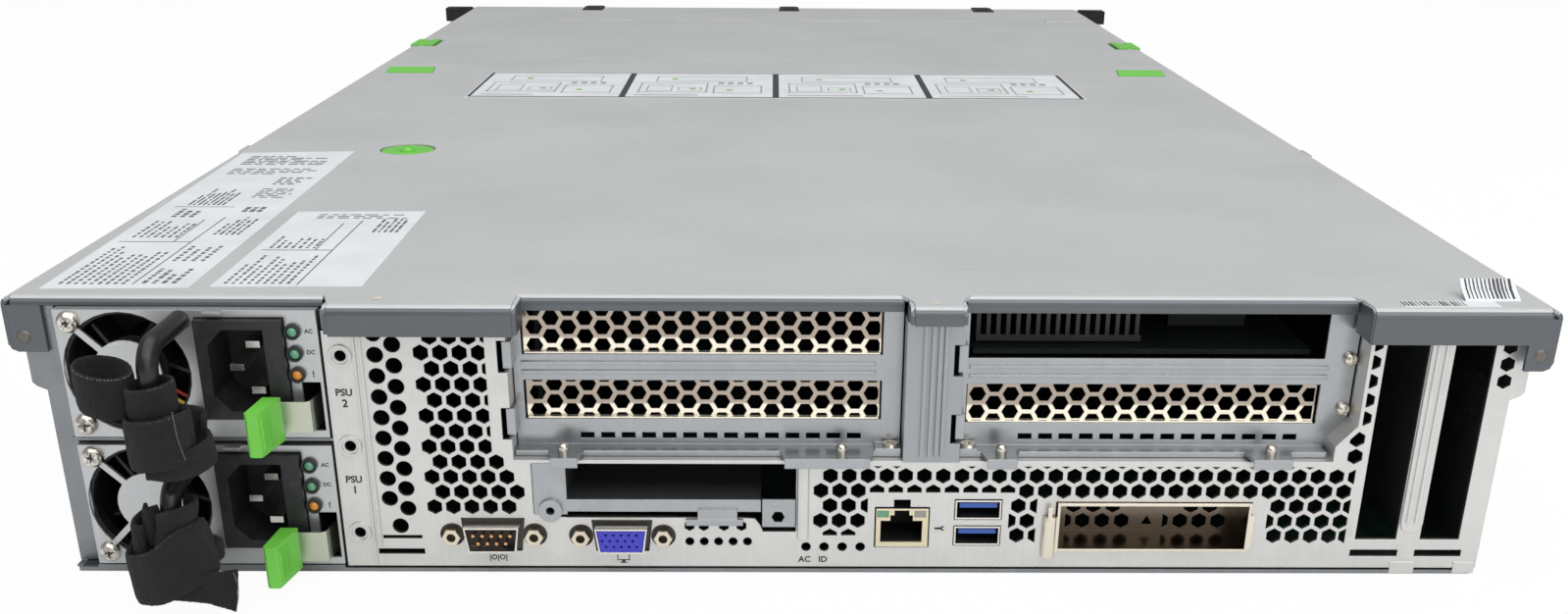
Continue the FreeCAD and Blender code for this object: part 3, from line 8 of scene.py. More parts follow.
# %% Load the frame
import bpy
import numpy as np
from mathutils import Matrix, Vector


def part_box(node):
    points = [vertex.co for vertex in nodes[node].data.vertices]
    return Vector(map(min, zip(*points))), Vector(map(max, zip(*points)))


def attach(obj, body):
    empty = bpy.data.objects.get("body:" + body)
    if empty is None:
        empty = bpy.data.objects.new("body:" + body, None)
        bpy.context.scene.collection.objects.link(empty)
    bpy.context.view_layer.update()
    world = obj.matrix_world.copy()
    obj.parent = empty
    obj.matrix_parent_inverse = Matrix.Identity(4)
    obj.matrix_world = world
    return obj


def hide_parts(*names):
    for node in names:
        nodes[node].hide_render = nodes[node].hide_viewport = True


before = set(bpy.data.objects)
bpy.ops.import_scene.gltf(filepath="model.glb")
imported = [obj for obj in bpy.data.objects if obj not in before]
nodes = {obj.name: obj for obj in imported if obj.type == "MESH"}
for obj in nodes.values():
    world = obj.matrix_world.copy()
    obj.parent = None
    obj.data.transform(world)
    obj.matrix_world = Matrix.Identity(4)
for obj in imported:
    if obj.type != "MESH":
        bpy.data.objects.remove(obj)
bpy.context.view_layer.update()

# %% [markdown]
# The rear plate is the datum. On the real machine everything at the back is set out from that plate, so
# places are given here as (x, depth, z) in millimetres, where depth is 5 at the rear plate and grows
# towards the front drives. The lip of the tray starts exactly at the plate, so its box gives the datum.

# %% Datum and unit helpers
MM = 0.001
PANEL_DEPTH = 5.0
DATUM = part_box("chassis_tray")[0].y - PANEL_DEPTH * MM


def to_metres(points):
    """Turns an array of (x, depth, z) in millimetres to row coordinates in metres."""
    out = np.asarray(points, float) * MM
    out[..., 1] += DATUM
    return out


def node_mm(name):
    """The low and high corner of a CAD node, back in (x, depth, z) millimetres."""
    low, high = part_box(name)
    shift = np.array([0.0, DATUM, 0.0])
    return (np.array(low) - shift) / MM, (np.array(high) - shift) / MM


print("rear plate at y =", round(DATUM + PANEL_DEPTH * MM, 4))

# %% [markdown]
# Two small makers turn arrays into meshes. A surface is a grid of points, rows by columns, and the faces
# join each point to the next in both directions. A flat print is a list of separate four-cornered patches.
# Working in whole arrays keeps even a dense surface quick, and the same helper serves tubes, bands and domes.

# %% Mesh makers
def grid_faces(rows, cols, wrap_rows, wrap_cols):
    """Index array of quads for a rows x cols grid, joined round where wrap is true."""
    r = np.arange(rows if wrap_rows else rows - 1)
    c = np.arange(cols if wrap_cols else cols - 1)
    rr, cc = np.meshgrid(r, c, indexing="ij")
    r2 = (rr + 1) % rows
    c2 = (cc + 1) % cols
    quads = np.stack([rr * cols + cc, rr * cols + c2, r2 * cols + c2, r2 * cols + cc], axis=-1)
    return quads.reshape(-1, 4)


def piece(name, points, faces, material, body, smooth=True, flip=False):
    """Makes an object at the origin from an (n, 3) array in metres and a list of faces."""
    mesh = bpy.data.meshes.new(name)
    faces = [f[::-1] for f in faces] if flip else faces
    points = np.asarray(points, float).reshape(-1, 3)
    mesh.from_pydata(points.tolist(), [], [list(map(int, f)) for f in faces])
    mesh.polygons.foreach_set("use_smooth", np.full(len(mesh.polygons), smooth))
    mesh.materials.append(material)
    mesh.update()
    obj = bpy.data.objects.new(name, mesh)
    bpy.context.scene.collection.objects.link(obj)
    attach(obj, body)
    return obj


def unit(vectors):
    """Each vector divided by its own length."""
    return vectors / np.linalg.norm(vectors, axis=-1, keepdims=True)


def tube_grid(path, radius, sides):
    """Points of a tube: centre + radius * (cos a * side + sin a * up), at each path point.
    The side direction starts level and is carried along so that the tube doesn't twist."""
    path = np.asarray(path, float)
    along = unit(np.gradient(path, axis=0))
    seed = np.array([1.0, 0.0, 0.0]) if abs(along[0, 0]) < 0.9 else np.array([0.0, 0.0, 1.0])
    side = np.empty_like(path)
    last = seed
    for i, direction in enumerate(along):
        last = last - direction * np.dot(last, direction)
        last = last / np.linalg.norm(last)
        side[i] = last
    up = np.cross(along, side)
    a = np.linspace(0, 2 * np.pi, sides, endpoint=False)
    radius = np.broadcast_to(radius, len(path))[:, None, None]
    ring = np.cos(a)[None, :, None] * side[:, None] + np.sin(a)[None, :, None] * up[:, None]
    return path[:, None] + radius * ring


def tube(name, path, radius, sides, material, body):
    """A closed tube along a path in millimetres, with a flat cap at both ends."""
    grid = tube_grid(path, radius, sides)
    rows = grid.shape[0]
    faces = grid_faces(rows, sides, False, True).tolist()
    faces.append(list(range(sides - 1, -1, -1)))
    faces.append([(rows - 1) * sides + k for k in range(sides)])
    return piece(name, to_metres(grid), faces, material, body, flip=True)


def spline(rows, count):
    """A smooth curve through the control rows: each stretch is the cubic 0.5 (2b + (c - a) f + ...)."""
    p = np.asarray(rows, float)
    p = np.vstack([2 * p[0] - p[1], p, 2 * p[-1] - p[-2]])
    t = np.linspace(0, len(rows) - 1 - 1e-9, count)
    i = t.astype(int)
    f = (t - i)[:, None]
    a, b, c, d = p[i], p[i + 1], p[i + 2], p[i + 3]
    square = 2 * a - 5 * b + 4 * c - d
    cube = 3 * b - a - 3 * c + d
    return 0.5 * (2 * b + (c - a) * f + square * f ** 2 + cube * f ** 3)


def quads_at(name, rects, depth, material, body, face="rear"):
    """Flat marks from (x0, v0, x1, v1) rows. On the rear v is z, on the lid v is depth."""
    r = np.asarray(rects, float).reshape(-1, 4)
    u = r[:, [0, 2, 2, 0]]
    v = r[:, [1, 1, 3, 3]]
    w = np.full_like(u, depth)
    corners = np.stack([u, w, v] if face == "rear" else [u, v, w], axis=-1)
    return piece(name, to_metres(corners.reshape(-1, 3)), np.arange(len(r) * 4).reshape(-1, 4).tolist(),
                 material, body, smooth=False)


print("mesh makers ready")

# %% [markdown]
# ## Finishes
# Zinc-coated sheet is never one grey: it has faint crystal patches, rolling streaks and handling marks.
# These belong to every sheet on the machine, so they are one node group with its own knobs. The group
# reads Object coordinates, in metres, so a patch keeps its true size on every part.

# %% A node helper and the sheet finish group
COLOUR, NUMBER = "NodeSocketColor", "NodeSocketFloat"


def new_group(name, inputs):
    """A shader group with the given labels and defaults, which puts out colour, roughness and height."""
    group = bpy.data.node_groups.new(name, "ShaderNodeTree")
    for label, value in inputs.items():
        kind = COLOUR if isinstance(value, tuple) else NUMBER
        group.interface.new_socket(label, in_out="INPUT", socket_type=kind).default_value = value
    for label, kind in (("Colour", COLOUR), ("Roughness", NUMBER), ("Height", NUMBER)):
        group.interface.new_socket(label, in_out="OUTPUT", socket_type=kind)
    return group, group.nodes.new("NodeGroupInput"), group.nodes.new("NodeGroupOutput")


def noise(tree, vector, scale, detail=3.0, rough=0.5):
    node = tree.nodes.new("ShaderNodeTexNoise")
    node.inputs["Scale"].default_value = scale
    node.inputs["Detail"].default_value = detail
    node.inputs["Roughness"].default_value = rough
    tree.links.new(vector, node.inputs["Vector"])
    return node.outputs["Fac"]


def stretch(tree, vector, factors):
    node = tree.nodes.new("ShaderNodeMapping")
    node.inputs["Scale"].default_value = factors
    tree.links.new(vector, node.inputs["Vector"])
    return node.outputs["Vector"]


def sums(tree, kind, a, b, clamp=False):
    node = tree.nodes.new("ShaderNodeMath")
    node.operation = kind
    node.use_clamp = clamp
    for k, value in enumerate((a, b)):
        if isinstance(value, (int, float)):
            node.inputs[k].default_value = value
        else:
            tree.links.new(value, node.inputs[k])
    return node.outputs[0]


def span(tree, value, low, high, to_low=0.0, to_high=1.0):
    node = tree.nodes.new("ShaderNodeMapRange")
    node.interpolation_type = "SMOOTHSTEP"
    for label, number in (("From Min", low), ("From Max", high), ("To Min", to_low), ("To Max", to_high)):
        node.inputs[label].default_value = number
    tree.links.new(value, node.inputs["Value"])
    return node.outputs["Result"]


def blend_colours(tree, amount, a, b):
    node = tree.nodes.new("ShaderNodeMix")
    node.data_type = "RGBA"
    for label, value in ((0, amount), (6, a), (7, b)):
        if isinstance(value, (int, float, tuple)):
            node.inputs[label].default_value = value
        else:
            tree.links.new(value, node.inputs[label])
    return node.outputs[2]


def scale_colour(tree, colour, factor):
    node = tree.nodes.new("ShaderNodeVectorMath")
    node.operation = "SCALE"
    tree.links.new(colour, node.inputs[0])
    tree.links.new(factor, node.inputs["Scale"])
    return node.outputs[0]


def swing(tree, base, source, amount, clamp=False):
    """base + (source - 0.5) * amount, for a noise that should lift as often as it lowers."""
    return sums(tree, "ADD", base, sums(tree, "MULTIPLY", sums(tree, "SUBTRACT", source, 0.5), amount), clamp)


def make_sheet_group():
    """Colour, roughness and height of handled zinc sheet: base times (1 + patches + crystals + streaks)."""
    t, enter, leave = new_group(
        "zinc_sheet_finish",
        {"Colour": (0.6, 0.6, 0.6, 1), "Patches": 0.1, "Crystals": 0.05, "Streaks": 0.05, "Scratches": 0.1,
         "Roughness": 0.4, "Stain Colour": (0.35, 0.33, 0.3, 1), "Stains": 0.1})
    place = t.nodes.new("ShaderNodeTexCoord").outputs["Object"]
    patches = noise(t, place, 14.0, 4.0)
    cells = t.nodes.new("ShaderNodeTexVoronoi")
    cells.inputs["Scale"].default_value = 170.0
    t.links.new(place, cells.inputs["Vector"])
    grey = t.nodes.new("ShaderNodeSeparateColor")
    t.links.new(cells.outputs["Color"], grey.inputs["Color"])
    crystals = grey.outputs["Red"]
    streaks = noise(t, stretch(t, place, (900.0, 60.0, 25.0)), 1.0, 2.0)
    marks = span(t, noise(t, stretch(t, place, (60.0, 700.0, 700.0)), 1.0, 1.0), 0.70, 0.76)
    fine = noise(t, place, 2600.0, 2.0)
    gain = 1.0
    for source, knob in ((patches, "Patches"), (crystals, "Crystals"), (streaks, "Streaks")):
        gain = swing(t, gain, source, enter.outputs[knob])
    tone = scale_colour(t, enter.outputs["Colour"], gain)
    stain_mask = span(t, noise(t, place, 45.0, 6.0, 0.65), 0.55, 0.75)
    stain_mask = sums(t, "MULTIPLY", stain_mask, enter.outputs["Stains"])
    colour = blend_colours(t, stain_mask, tone, enter.outputs["Stain Colour"])
    t.links.new(colour, leave.inputs["Colour"])
    rough = swing(t, enter.outputs["Roughness"], patches, 0.25)
    rough = sums(t, "ADD", rough, sums(t, "MULTIPLY", stain_mask, 0.25))
    polished = sums(t, "MULTIPLY", marks, sums(t, "MULTIPLY", enter.outputs["Scratches"], 0.5))
    rough = sums(t, "SUBTRACT", rough, polished, True)
    t.links.new(rough, leave.inputs["Roughness"])
    height = sums(t, "ADD", sums(t, "MULTIPLY", streaks, 0.4), sums(t, "MULTIPLY", fine, 0.3))
    height = sums(t, "SUBTRACT", height, sums(t, "MULTIPLY", marks, enter.outputs["Scratches"]))
    t.links.new(height, leave.inputs["Height"])
    return t


SHEET_GROUP = make_sheet_group()
print("sheet group", len(SHEET_GROUP.nodes), "nodes")

# %% [markdown]
# Plastics need a different surface: a fine moulded grain, a little dust that settles in patches, and
# almost no colour change. Cloth with a hook-and-loop pile is different again: short fibres that scatter
# light, with lighter lint caught in it. Each is one group.

# %% Moulded plastic and cloth groups
def make_moulding_group():
    """Colour is the base, shaded a little by a slow noise and greyed by dust; height is a fine grain."""
    t, enter, leave = new_group(
        "moulded_plastic_finish",
        {"Colour": (0.02, 0.02, 0.02, 1), "Dust": 0.05, "Roughness": 0.45, "Grain Size": 2500.0})
    place = t.nodes.new("ShaderNodeTexCoord").outputs["Object"]
    slow = noise(t, place, 60.0, 3.0)
    dust = sums(t, "MULTIPLY", span(t, noise(t, place, 240.0, 6.0, 0.7), 0.45, 0.8), enter.outputs["Dust"])
    grain = t.nodes.new("ShaderNodeTexNoise")
    grain.inputs["Detail"].default_value = 2.0
    t.links.new(place, grain.inputs["Vector"])
    t.links.new(enter.outputs["Grain Size"], grain.inputs["Scale"])
    tone = scale_colour(t, enter.outputs["Colour"], sums(t, "ADD", 0.9, sums(t, "MULTIPLY", slow, 0.2)))
    dusty = blend_colours(t, dust, tone, (0.42, 0.41, 0.39, 1.0))
    t.links.new(dusty, leave.inputs["Colour"])
    rough = swing(t, enter.outputs["Roughness"], slow, 0.2)
    t.links.new(sums(t, "ADD", rough, dust, True), leave.inputs["Roughness"])
    t.links.new(grain.outputs["Fac"], leave.inputs["Height"])
    return t


def make_pile_group():
    """Cloth pile: fine noise lifts and darkens fibres, and rare bright spots are lint."""
    t, enter, leave = new_group("cloth_pile_finish", {"Colour": (0.012, 0.012, 0.013, 1), "Lint": 0.3})
    place = t.nodes.new("ShaderNodeTexCoord").outputs["Object"]
    fibres = noise(t, place, 1900.0, 5.0, 0.7)
    clumps = noise(t, place, 420.0, 3.0)
    lint = span(t, noise(t, place, 1500.0, 3.0, 0.6), 0.66, 0.74)
    lint = sums(t, "MULTIPLY", lint, enter.outputs["Lint"])
    tone = scale_colour(t, enter.outputs["Colour"], sums(t, "ADD", 0.35, sums(t, "MULTIPLY", fibres, 1.3)))
    linty = blend_colours(t, lint, tone, (0.23, 0.23, 0.24, 1.0))
    t.links.new(linty, leave.inputs["Colour"])
    t.links.new(sums(t, "ADD", 0.78, sums(t, "MULTIPLY", clumps, 0.2), True), leave.inputs["Roughness"])
    t.links.new(sums(t, "ADD", fibres, clumps), leave.inputs["Height"])
    return t


MOULDING_GROUP = make_moulding_group()
PILE_GROUP = make_pile_group()
print("plastic and cloth groups ready")

# %% [markdown]
# A material is one Principled shader, one of the groups and a Bump node. Punched sheet has tiny rounded
# edges that catch the light as thin bright lines, and a Bevel node gives those lines without new geometry.

# %% Material maker
def finish(name, group, knobs, metallic=0.0, bump=0.1, bump_depth=0.0002, edge=0.0, coat=0.0, sheen=0.0):
    """A material whose colour, roughness and bump come from a finish group with the given knobs."""
    material = bpy.data.materials.new(name)
    material.use_nodes = True
    t = material.node_tree
    shader = t.nodes["Principled BSDF"]
    source = t.nodes.new("ShaderNodeGroup")
    source.node_tree = group
    for label, value in knobs.items():
        source.inputs[label].default_value = (*value, 1.0) if isinstance(value, tuple) else value
    t.links.new(source.outputs["Colour"], shader.inputs["Base Color"])
    t.links.new(source.outputs["Roughness"], shader.inputs["Roughness"])
    shader.inputs["Metallic"].default_value = metallic
    shader.inputs["Coat Weight"].default_value = coat
    shader.inputs["Sheen Weight"].default_value = sheen
    bump_node = t.nodes.new("ShaderNodeBump")
    bump_node.inputs["Strength"].default_value = bump
    bump_node.inputs["Distance"].default_value = bump_depth
    t.links.new(source.outputs["Height"], bump_node.inputs["Height"])
    if edge > 0:
        bevel = t.nodes.new("ShaderNodeBevel")
        bevel.samples = 4
        bevel.inputs["Radius"].default_value = edge * MM
        t.links.new(bevel.outputs["Normal"], bump_node.inputs["Normal"])
    t.links.new(bump_node.outputs["Normal"], shader.inputs["Normal"])
    return material


def sheet(name, colour, rough, patches=0.12, crystals=0.06, streaks=0.06, stains=0.08, metallic=0.85,
          edge=0.35, scratches=0.2, bump=0.08):
    """Zinc or nickel sheet."""
    knobs = {"Colour": colour, "Patches": patches, "Crystals": crystals, "Streaks": streaks,
             "Scratches": scratches, "Roughness": rough, "Stains": stains}
    return finish(name, SHEET_GROUP, knobs, metallic, bump, 0.0002, edge)


def moulding(name, colour, rough, dust=0.04, grain=2500.0, bump=0.15, edge=0.3, coat=0.0):
    """Moulded plastic or coated wire."""
    knobs = {"Colour": colour, "Dust": dust, "Roughness": rough, "Grain Size": grain}
    return finish(name, MOULDING_GROUP, knobs, 0.0, bump, 0.0001, edge, coat)


print("material maker ready")

# %% [markdown]
# The lid is matt and light, the rear plate is bright zinc with a warm cast, and the riser frames are a
# darker, bluer zinc that is painted shade for their recessed place. The slot blanks and connector shells are
# bright nickel, and the slot blanks carry bands of painted cream highlight.

# %% Sheet materials
LID = sheet("lid_matt_grey", (0.55, 0.555, 0.556), 0.60, 0.10, 0.015, 0.02, 0.05, 0.35, 0.5, 0.35, 0.05)
# the lid's rear flange and bend are the lid's own sheet, painted much darker as painted shade where they face
# away from the overhead light
LID_FLANGE_SHADE = sheet("lid_flange_painted_shade", (0.13, 0.14, 0.15), 0.38, 0.16, 0.02, 0.06, 0.06, 0.6, 0.3)
REAR_PLATE = sheet("rear_plate_bright_zinc", (0.66, 0.655, 0.635), 0.36, 0.14, 0.04, 0.10, 0.10, 0.75, 0.3)
# the riser frames' darker, bluer zinc is painted shade for frames that sit recessed behind the plate and get
# less light
RISER_ZINC_SHADED = sheet("riser_zinc_painted_shade", (0.40, 0.415, 0.43), 0.28, 0.16, 0.06, 0.08, 0.06, 0.85, 0.4)
# the tray, bay and drive cage zinc is darkened well below the rear plate as painted shade, for walls that get
# little light
TRAY_ZINC_SHADED = sheet("tray_zinc_painted_shade", (0.26, 0.272, 0.285), 0.36, 0.16, 0.10, 0.06, 0.08, 0.85, 0.4)
SUPPLY_ZINC = sheet("supply_face_zinc", (0.54, 0.55, 0.555), 0.34, 0.14, 0.05, 0.08, 0.08, 0.8, 0.3)
BLANK_NICKEL = sheet("blank_nickel", (0.44, 0.375, 0.315), 0.24, 0.40, 0.02, 0.10, 0.06, 1.0, 0.3)
SHELL_NICKEL = sheet("shell_nickel", (0.78, 0.75, 0.68), 0.22, 0.12, 0.02, 0.05, 0.08, 1.0, 0.3)
JACK_GOLD = sheet("jack_shield_pale_gold", (0.74, 0.66, 0.48), 0.28, 0.10, 0.02, 0.05, 0.08, 0.9, 0.2)
POST_NICKEL = sheet("post_nickel", (0.74, 0.66, 0.52), 0.22, 0.12, 0.02, 0.04, 0.10, 1.0, 0.25)
# near-black metal laid in the screw recesses as painted shade
RECESS_SHADE = sheet("screw_recess_painted_shade", (0.10, 0.085, 0.07), 0.35, 0.3, 0.0, 0.0, 0.2, 0.9, 0.0)
PIN_COPPER = sheet("pin_copper", (0.75, 0.38, 0.16), 0.25, 0.1, 0.0, 0.0, 0.05, 1.0, 0.0)
BLADE_METAL = sheet("blade_metal", (0.78, 0.76, 0.70), 0.25, 0.1, 0.0, 0.0, 0.05, 1.0, 0.1)
SCREW_METAL = sheet("screw_nickel", (0.74, 0.69, 0.60), 0.24, 0.2, 0.0, 0.03, 0.16, 1.0, 0.1)
COOLER_METAL = sheet("cooler_aluminium", (0.70, 0.71, 0.72), 0.35, 0.08, 0.0, 0.05, 0.05, 0.9, 0.2)
# dark cut edges: partly the bare steel's own darker edge, partly painted shade on hole walls and inside
# socket shells
CUT_EDGE_AND_SHADE = sheet("cut_edge_and_painted_shade", (0.085, 0.083, 0.08), 0.55, 0.1, 0.0, 0.05, 0.1, 0.4, 0.0)
SHADE_ZINC = sheet("inner_zinc_shade", (0.06, 0.062, 0.065), 0.5, 0.16, 0.05, 0.06, 0.08, 0.5, 0.0)
BRACKET_CREAM = sheet("bracket_lip", (0.78, 0.72, 0.60), 0.24, 0.18, 0.0, 0.05, 0.08, 1.0, 0.3)
# dark brown laid on the bracket's inner wall is a painted reflection of dark surroundings in the nickel
BRACKET_DARK_REFLECTION = sheet("bracket_painted_dark_reflection", (0.20, 0.165, 0.13), 0.22, 0.30, 0.0, 0.10, 0.10, 1.0, 0.2)
RIVET_BROWN = sheet("rivet_dark", (0.17, 0.155, 0.14), 0.45, 0.2, 0.0, 0.05, 0.15, 0.6, 0.1)
LEAF_NICKEL = sheet("latch_leaf_nickel", (0.52, 0.55, 0.44), 0.26, 0.35, 0.0, 0.08, 0.25, 1.0, 0.25)


def lay_over(tree, mask, colour):
    """Lays a second colour over a material's own where the mask is 1."""
    shader = tree.nodes["Principled BSDF"]
    old = shader.inputs["Base Color"].links[0].from_socket
    tree.links.new(blend_colours(tree, mask, old, (*colour, 1.0)), shader.inputs["Base Color"])


def bands_by_height(material, bands, colour):
    """Lays a painted highlight colour over a material between pairs of heights, low and high, in metres."""
    t = material.node_tree
    place = t.nodes.new("ShaderNodeTexCoord").outputs["Object"]
    parts = t.nodes.new("ShaderNodeSeparateXYZ")
    t.links.new(place, parts.inputs[0])
    wobble = sums(t, "MULTIPLY", sums(t, "SUBTRACT", noise(t, place, 90.0, 2.0), 0.5), 0.0012)
    height = sums(t, "ADD", parts.outputs["Z"], wobble)
    mask = 0.0
    for low, high in bands:
        up = span(t, height, low - 0.0004, low + 0.0004)
        down = span(t, height, high - 0.0005, high + 0.0005, 1.0, 0.0)
        mask = sums(t, "MAXIMUM", mask, sums(t, "MULTIPLY", up, down))
    lay_over(t, mask, colour)


def strip_by_width(material, x_range, z_low, colour):
    """Lays a painted-shade colour over a material between two places across, above a height, in mm."""
    t = material.node_tree
    parts = t.nodes.new("ShaderNodeSeparateXYZ")
    t.links.new(t.nodes.new("ShaderNodeTexCoord").outputs["Object"], parts.inputs[0])
    left = span(t, parts.outputs["X"], (x_range[0] - 0.1) * MM, (x_range[0] + 0.1) * MM)
    right = span(t, parts.outputs["X"], (x_range[1] - 0.1) * MM, (x_range[1] + 0.1) * MM, 1.0, 0.0)
    above = span(t, parts.outputs["Z"], (z_low - 0.1) * MM, (z_low + 0.1) * MM)
    mask = sums(t, "MULTIPLY", sums(t, "MULTIPLY", left, right), above)
    lay_over(t, mask, colour)


# two cream bands on the slot blanks are painted highlights where their curved webs would catch the light
bands_by_height(BLANK_NICKEL, ((0.0665, 0.0718), (0.0455, 0.0512)), (0.95, 0.88, 0.74))
# the bar between the riser cages is painted darker blue-grey as painted shade
strip_by_width(REAR_PLATE, (37.0, 54.2), 36.5, (0.36, 0.375, 0.39))
print("sheet materials ready")

# %% [markdown]
# The plastics follow: satin black for the inlets and fans, a smoother black for the coated handles, the
# bright green that marks every part a hand may touch, and small dull lenses for the lamps.

# %% Plastic, cloth and film materials
BLACK = moulding("moulded_black", (0.014, 0.014, 0.016), 0.42, 0.05)
DEEP_BLACK = moulding("inner_black", (0.008, 0.008, 0.009), 0.55, 0.05)
HANDLE_BLACK = moulding("handle_coating", (0.008, 0.008, 0.009), 0.30, 0.02, 900.0, 0.08)
TOUCH_GREEN = moulding("touch_green", (0.155, 0.56, 0.062), 0.40, 0.02, 1800.0, 0.06, 0.3)
PAD_GREEN = moulding("pad_green", (0.165, 0.60, 0.07), 0.45, 0.02, 1800.0, 0.06, 0.0)
LENS_GREEN = moulding("lens_green", (0.10, 0.30, 0.17), 0.20, 0.10, 700.0, 0.1, 0.0, 0.5)
LENS_AMBER = moulding("lens_amber", (0.58, 0.22, 0.02), 0.22, 0.05, 700.0, 0.1, 0.0, 0.5)
LENS_GREY = moulding("lens_grey", (0.30, 0.29, 0.27), 0.3, 0.1, 700.0, 0.1, 0.0)
PORT_BLUE = moulding("port_blue", (0.045, 0.045, 0.50), 0.40, 0.02, 1800.0, 0.05, 0.1)
TONGUE_BLUE = moulding("tongue_blue", (0.04, 0.11, 0.46), 0.35, 0.02, 1800.0, 0.05, 0.1)
BOARD_GREEN = moulding("board_green", (0.006, 0.022, 0.013), 0.35, 0.06, 500.0, 0.2, 0.1)
BOARD_SHADE = moulding("board_in_shade", (0.004, 0.010, 0.007), 0.5, 0.03, 500.0, 0.2, 0.0)
DARK_GREY = moulding("carrier_grey", (0.035, 0.035, 0.038), 0.48, 0.05)
BUTTON_GREY = moulding("button_grey", (0.55, 0.56, 0.56), 0.35, 0.02)
FILM_WHITE = moulding("label_film", (0.74, 0.755, 0.77), 0.42, 0.03, 500.0, 0.05, 0.0)
TAPE_CREAM = moulding("tape_remnant", (0.62, 0.56, 0.46), 0.6, 0.05, 500.0, 0.2, 0.0)
INK_BLACK = moulding("ink_black", (0.018, 0.018, 0.02), 0.5, 0.02, 900.0, 0.05, 0.0)
INK_GREY = moulding("ink_grey", (0.035, 0.035, 0.037), 0.5, 0.02, 900.0, 0.05, 0.0)
INK_PALE = moulding("ink_pale_grey", (0.13, 0.133, 0.137), 0.5, 0.02, 900.0, 0.05, 0.0)
INK_DRAWING = moulding("ink_line_drawing", (0.33, 0.335, 0.34), 0.5, 0.02, 900.0, 0.05, 0.0)
INK_GREEN = moulding("ink_green", (0.16, 0.52, 0.07), 0.5, 0.02, 900.0, 0.05, 0.0)
WIRE_YELLOW = moulding("wire_yellow", (0.72, 0.50, 0.03), 0.35, 0.02)
WIRE_RED = moulding("wire_red", (0.45, 0.03, 0.03), 0.35, 0.02)
WIRE_PURPLE = moulding("wire_purple", (0.20, 0.08, 0.30), 0.35, 0.02)
CLOTH = finish("strap_pile", PILE_GROUP, {"Colour": (0.0045, 0.0045, 0.005), "Lint": 0.12},
               bump=0.9, bump_depth=0.0008, sheen=0.04)
STITCH = finish("stitch_thread", PILE_GROUP, {"Colour": (0.26, 0.26, 0.27), "Lint": 0.2},
                bump=0.6, bump_depth=0.0003, sheen=0.2)
print("materials", len(bpy.data.materials))

# %% [markdown]
# ## Dressing the frame
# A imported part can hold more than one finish, as a network jack does: pale shield, black inside, two
# lamps and gold contacts. The faces are sorted by where their centres lie, in one array step, and the
# mesh itself stays as it is.

# %% Dress a frame node
def dress(name, material, *zones):
    """Gives a CAD node its material. A zone is (material, x range, depth range, z range) in mm, or round:
    (material, (centre x, centre z, radius), depth range). A later zone wins over an earlier one."""
    mesh = nodes[name].data
    mesh.materials.clear()
    for m in (material, *[zone[0] for zone in zones]):
        mesh.materials.append(m)
    centres = np.empty(len(mesh.polygons) * 3)
    mesh.polygons.foreach_get("center", centres)
    centres = centres.reshape(-1, 3) / MM - np.array([0, DATUM / MM, 0])
    index = np.zeros(len(centres), np.int32)
    for k, zone in enumerate(zones):
        if len(zone) == 3:
            (x_mid, z_mid, radius), ys = zone[1:]
            inside = np.hypot(centres[:, 0] - x_mid, centres[:, 2] - z_mid) < radius
            inside &= (centres[:, 1] >= ys[0]) & (centres[:, 1] <= ys[1])
        else:
            limits = np.array(zone[1:])
            inside = np.all((centres >= limits[:, 0]) & (centres <= limits[:, 1]), axis=1)
        index[inside] = k + 1
    mesh.polygons.foreach_set("material_index", index)


FAR = (-1000.0, 1000.0)
for name in ("front_lid", "front_top"):
    dress(name, LID)
# the flange and the top of the bend take the darker copy of the lid sheet, which is painted shade
dress("rear_lid", LID, (LID_FLANGE_SHADE, FAR, FAR, (0.0, 83.02)), (LID_FLANGE_SHADE, FAR, (-1.0, 14.0), (83.0, 84.75)),
      (RIVET_BROWN, (-217.6, 73.5, 2.3), (7.9, 8.59)),
      (RIVET_BROWN, (218.45, 72.0, 2.3), (-0.6, -0.01)))
# tray, bay and drive cage take the zinc darkened as painted shade
dress("chassis_tray", TRAY_ZINC_SHADED, (SHADE_ZINC, (-213.2, 213.2), (11.5, 300.0), (1.1, 83.0)))
dress("psu_bay", TRAY_ZINC_SHADED, (SHADE_ZINC, (-131.2, -129.0), (6.5, 300.0), FAR))
dress("drive_cage", TRAY_ZINC_SHADED)
# riser cages and the low slot frame get the zinc darkened as painted shade
for name in ("riser_cage_left", "riser_cage_right"):
    dress(name, RISER_ZINC_SHADED)
for name in ("rack_ears", "front_panel"):
    dress(name, REAR_PLATE)
# the hole walls inside the plate's thickness get the dark cut-edge colour, partly painted shade
dress("rear_panel", REAR_PLATE, (CUT_EDGE_AND_SHADE, FAR, (PANEL_DEPTH + 0.05, PANEL_DEPTH + 1.15), FAR),
      (SHADE_ZINC, FAR, (PANEL_DEPTH + 1.19, PANEL_DEPTH + 1.21), FAR))
dress("slot_divider", REAR_PLATE, (SHADE_ZINC, (191.5, 193.5), (6.0, 200.0), FAR))
dress("memory_modules", BOARD_GREEN)
dress("main_board", BOARD_GREEN, (BOARD_SHADE, FAR, (0.0, 60.0), FAR))
dress("low_slot_frame", RISER_ZINC_SHADED, (SHADE_ZINC, FAR, (5.75, 70.0), (19.0, 36.2)))
dress("riser_cards", BOARD_SHADE, (SHADE_ZINC, (59.0, 112.0), (27.0, 140.0), (67.1, 80.0)))
for name in ("front_hooks", "ear_caps", "fan_frames", "air_duct"):
    dress(name, DEEP_BLACK)
for name in ("lid_grip_left", "lid_grip_right", "lid_lock"):
    dress(name, TOUCH_GREEN)
# the hex hole walls get the dark cut-edge colour, partly painted shade
dress("slot_covers", BLANK_NICKEL, (CUT_EDGE_AND_SHADE, FAR, (15.13, 15.57), FAR),
      (SHADE_ZINC, FAR, (15.58, 15.7), FAR))
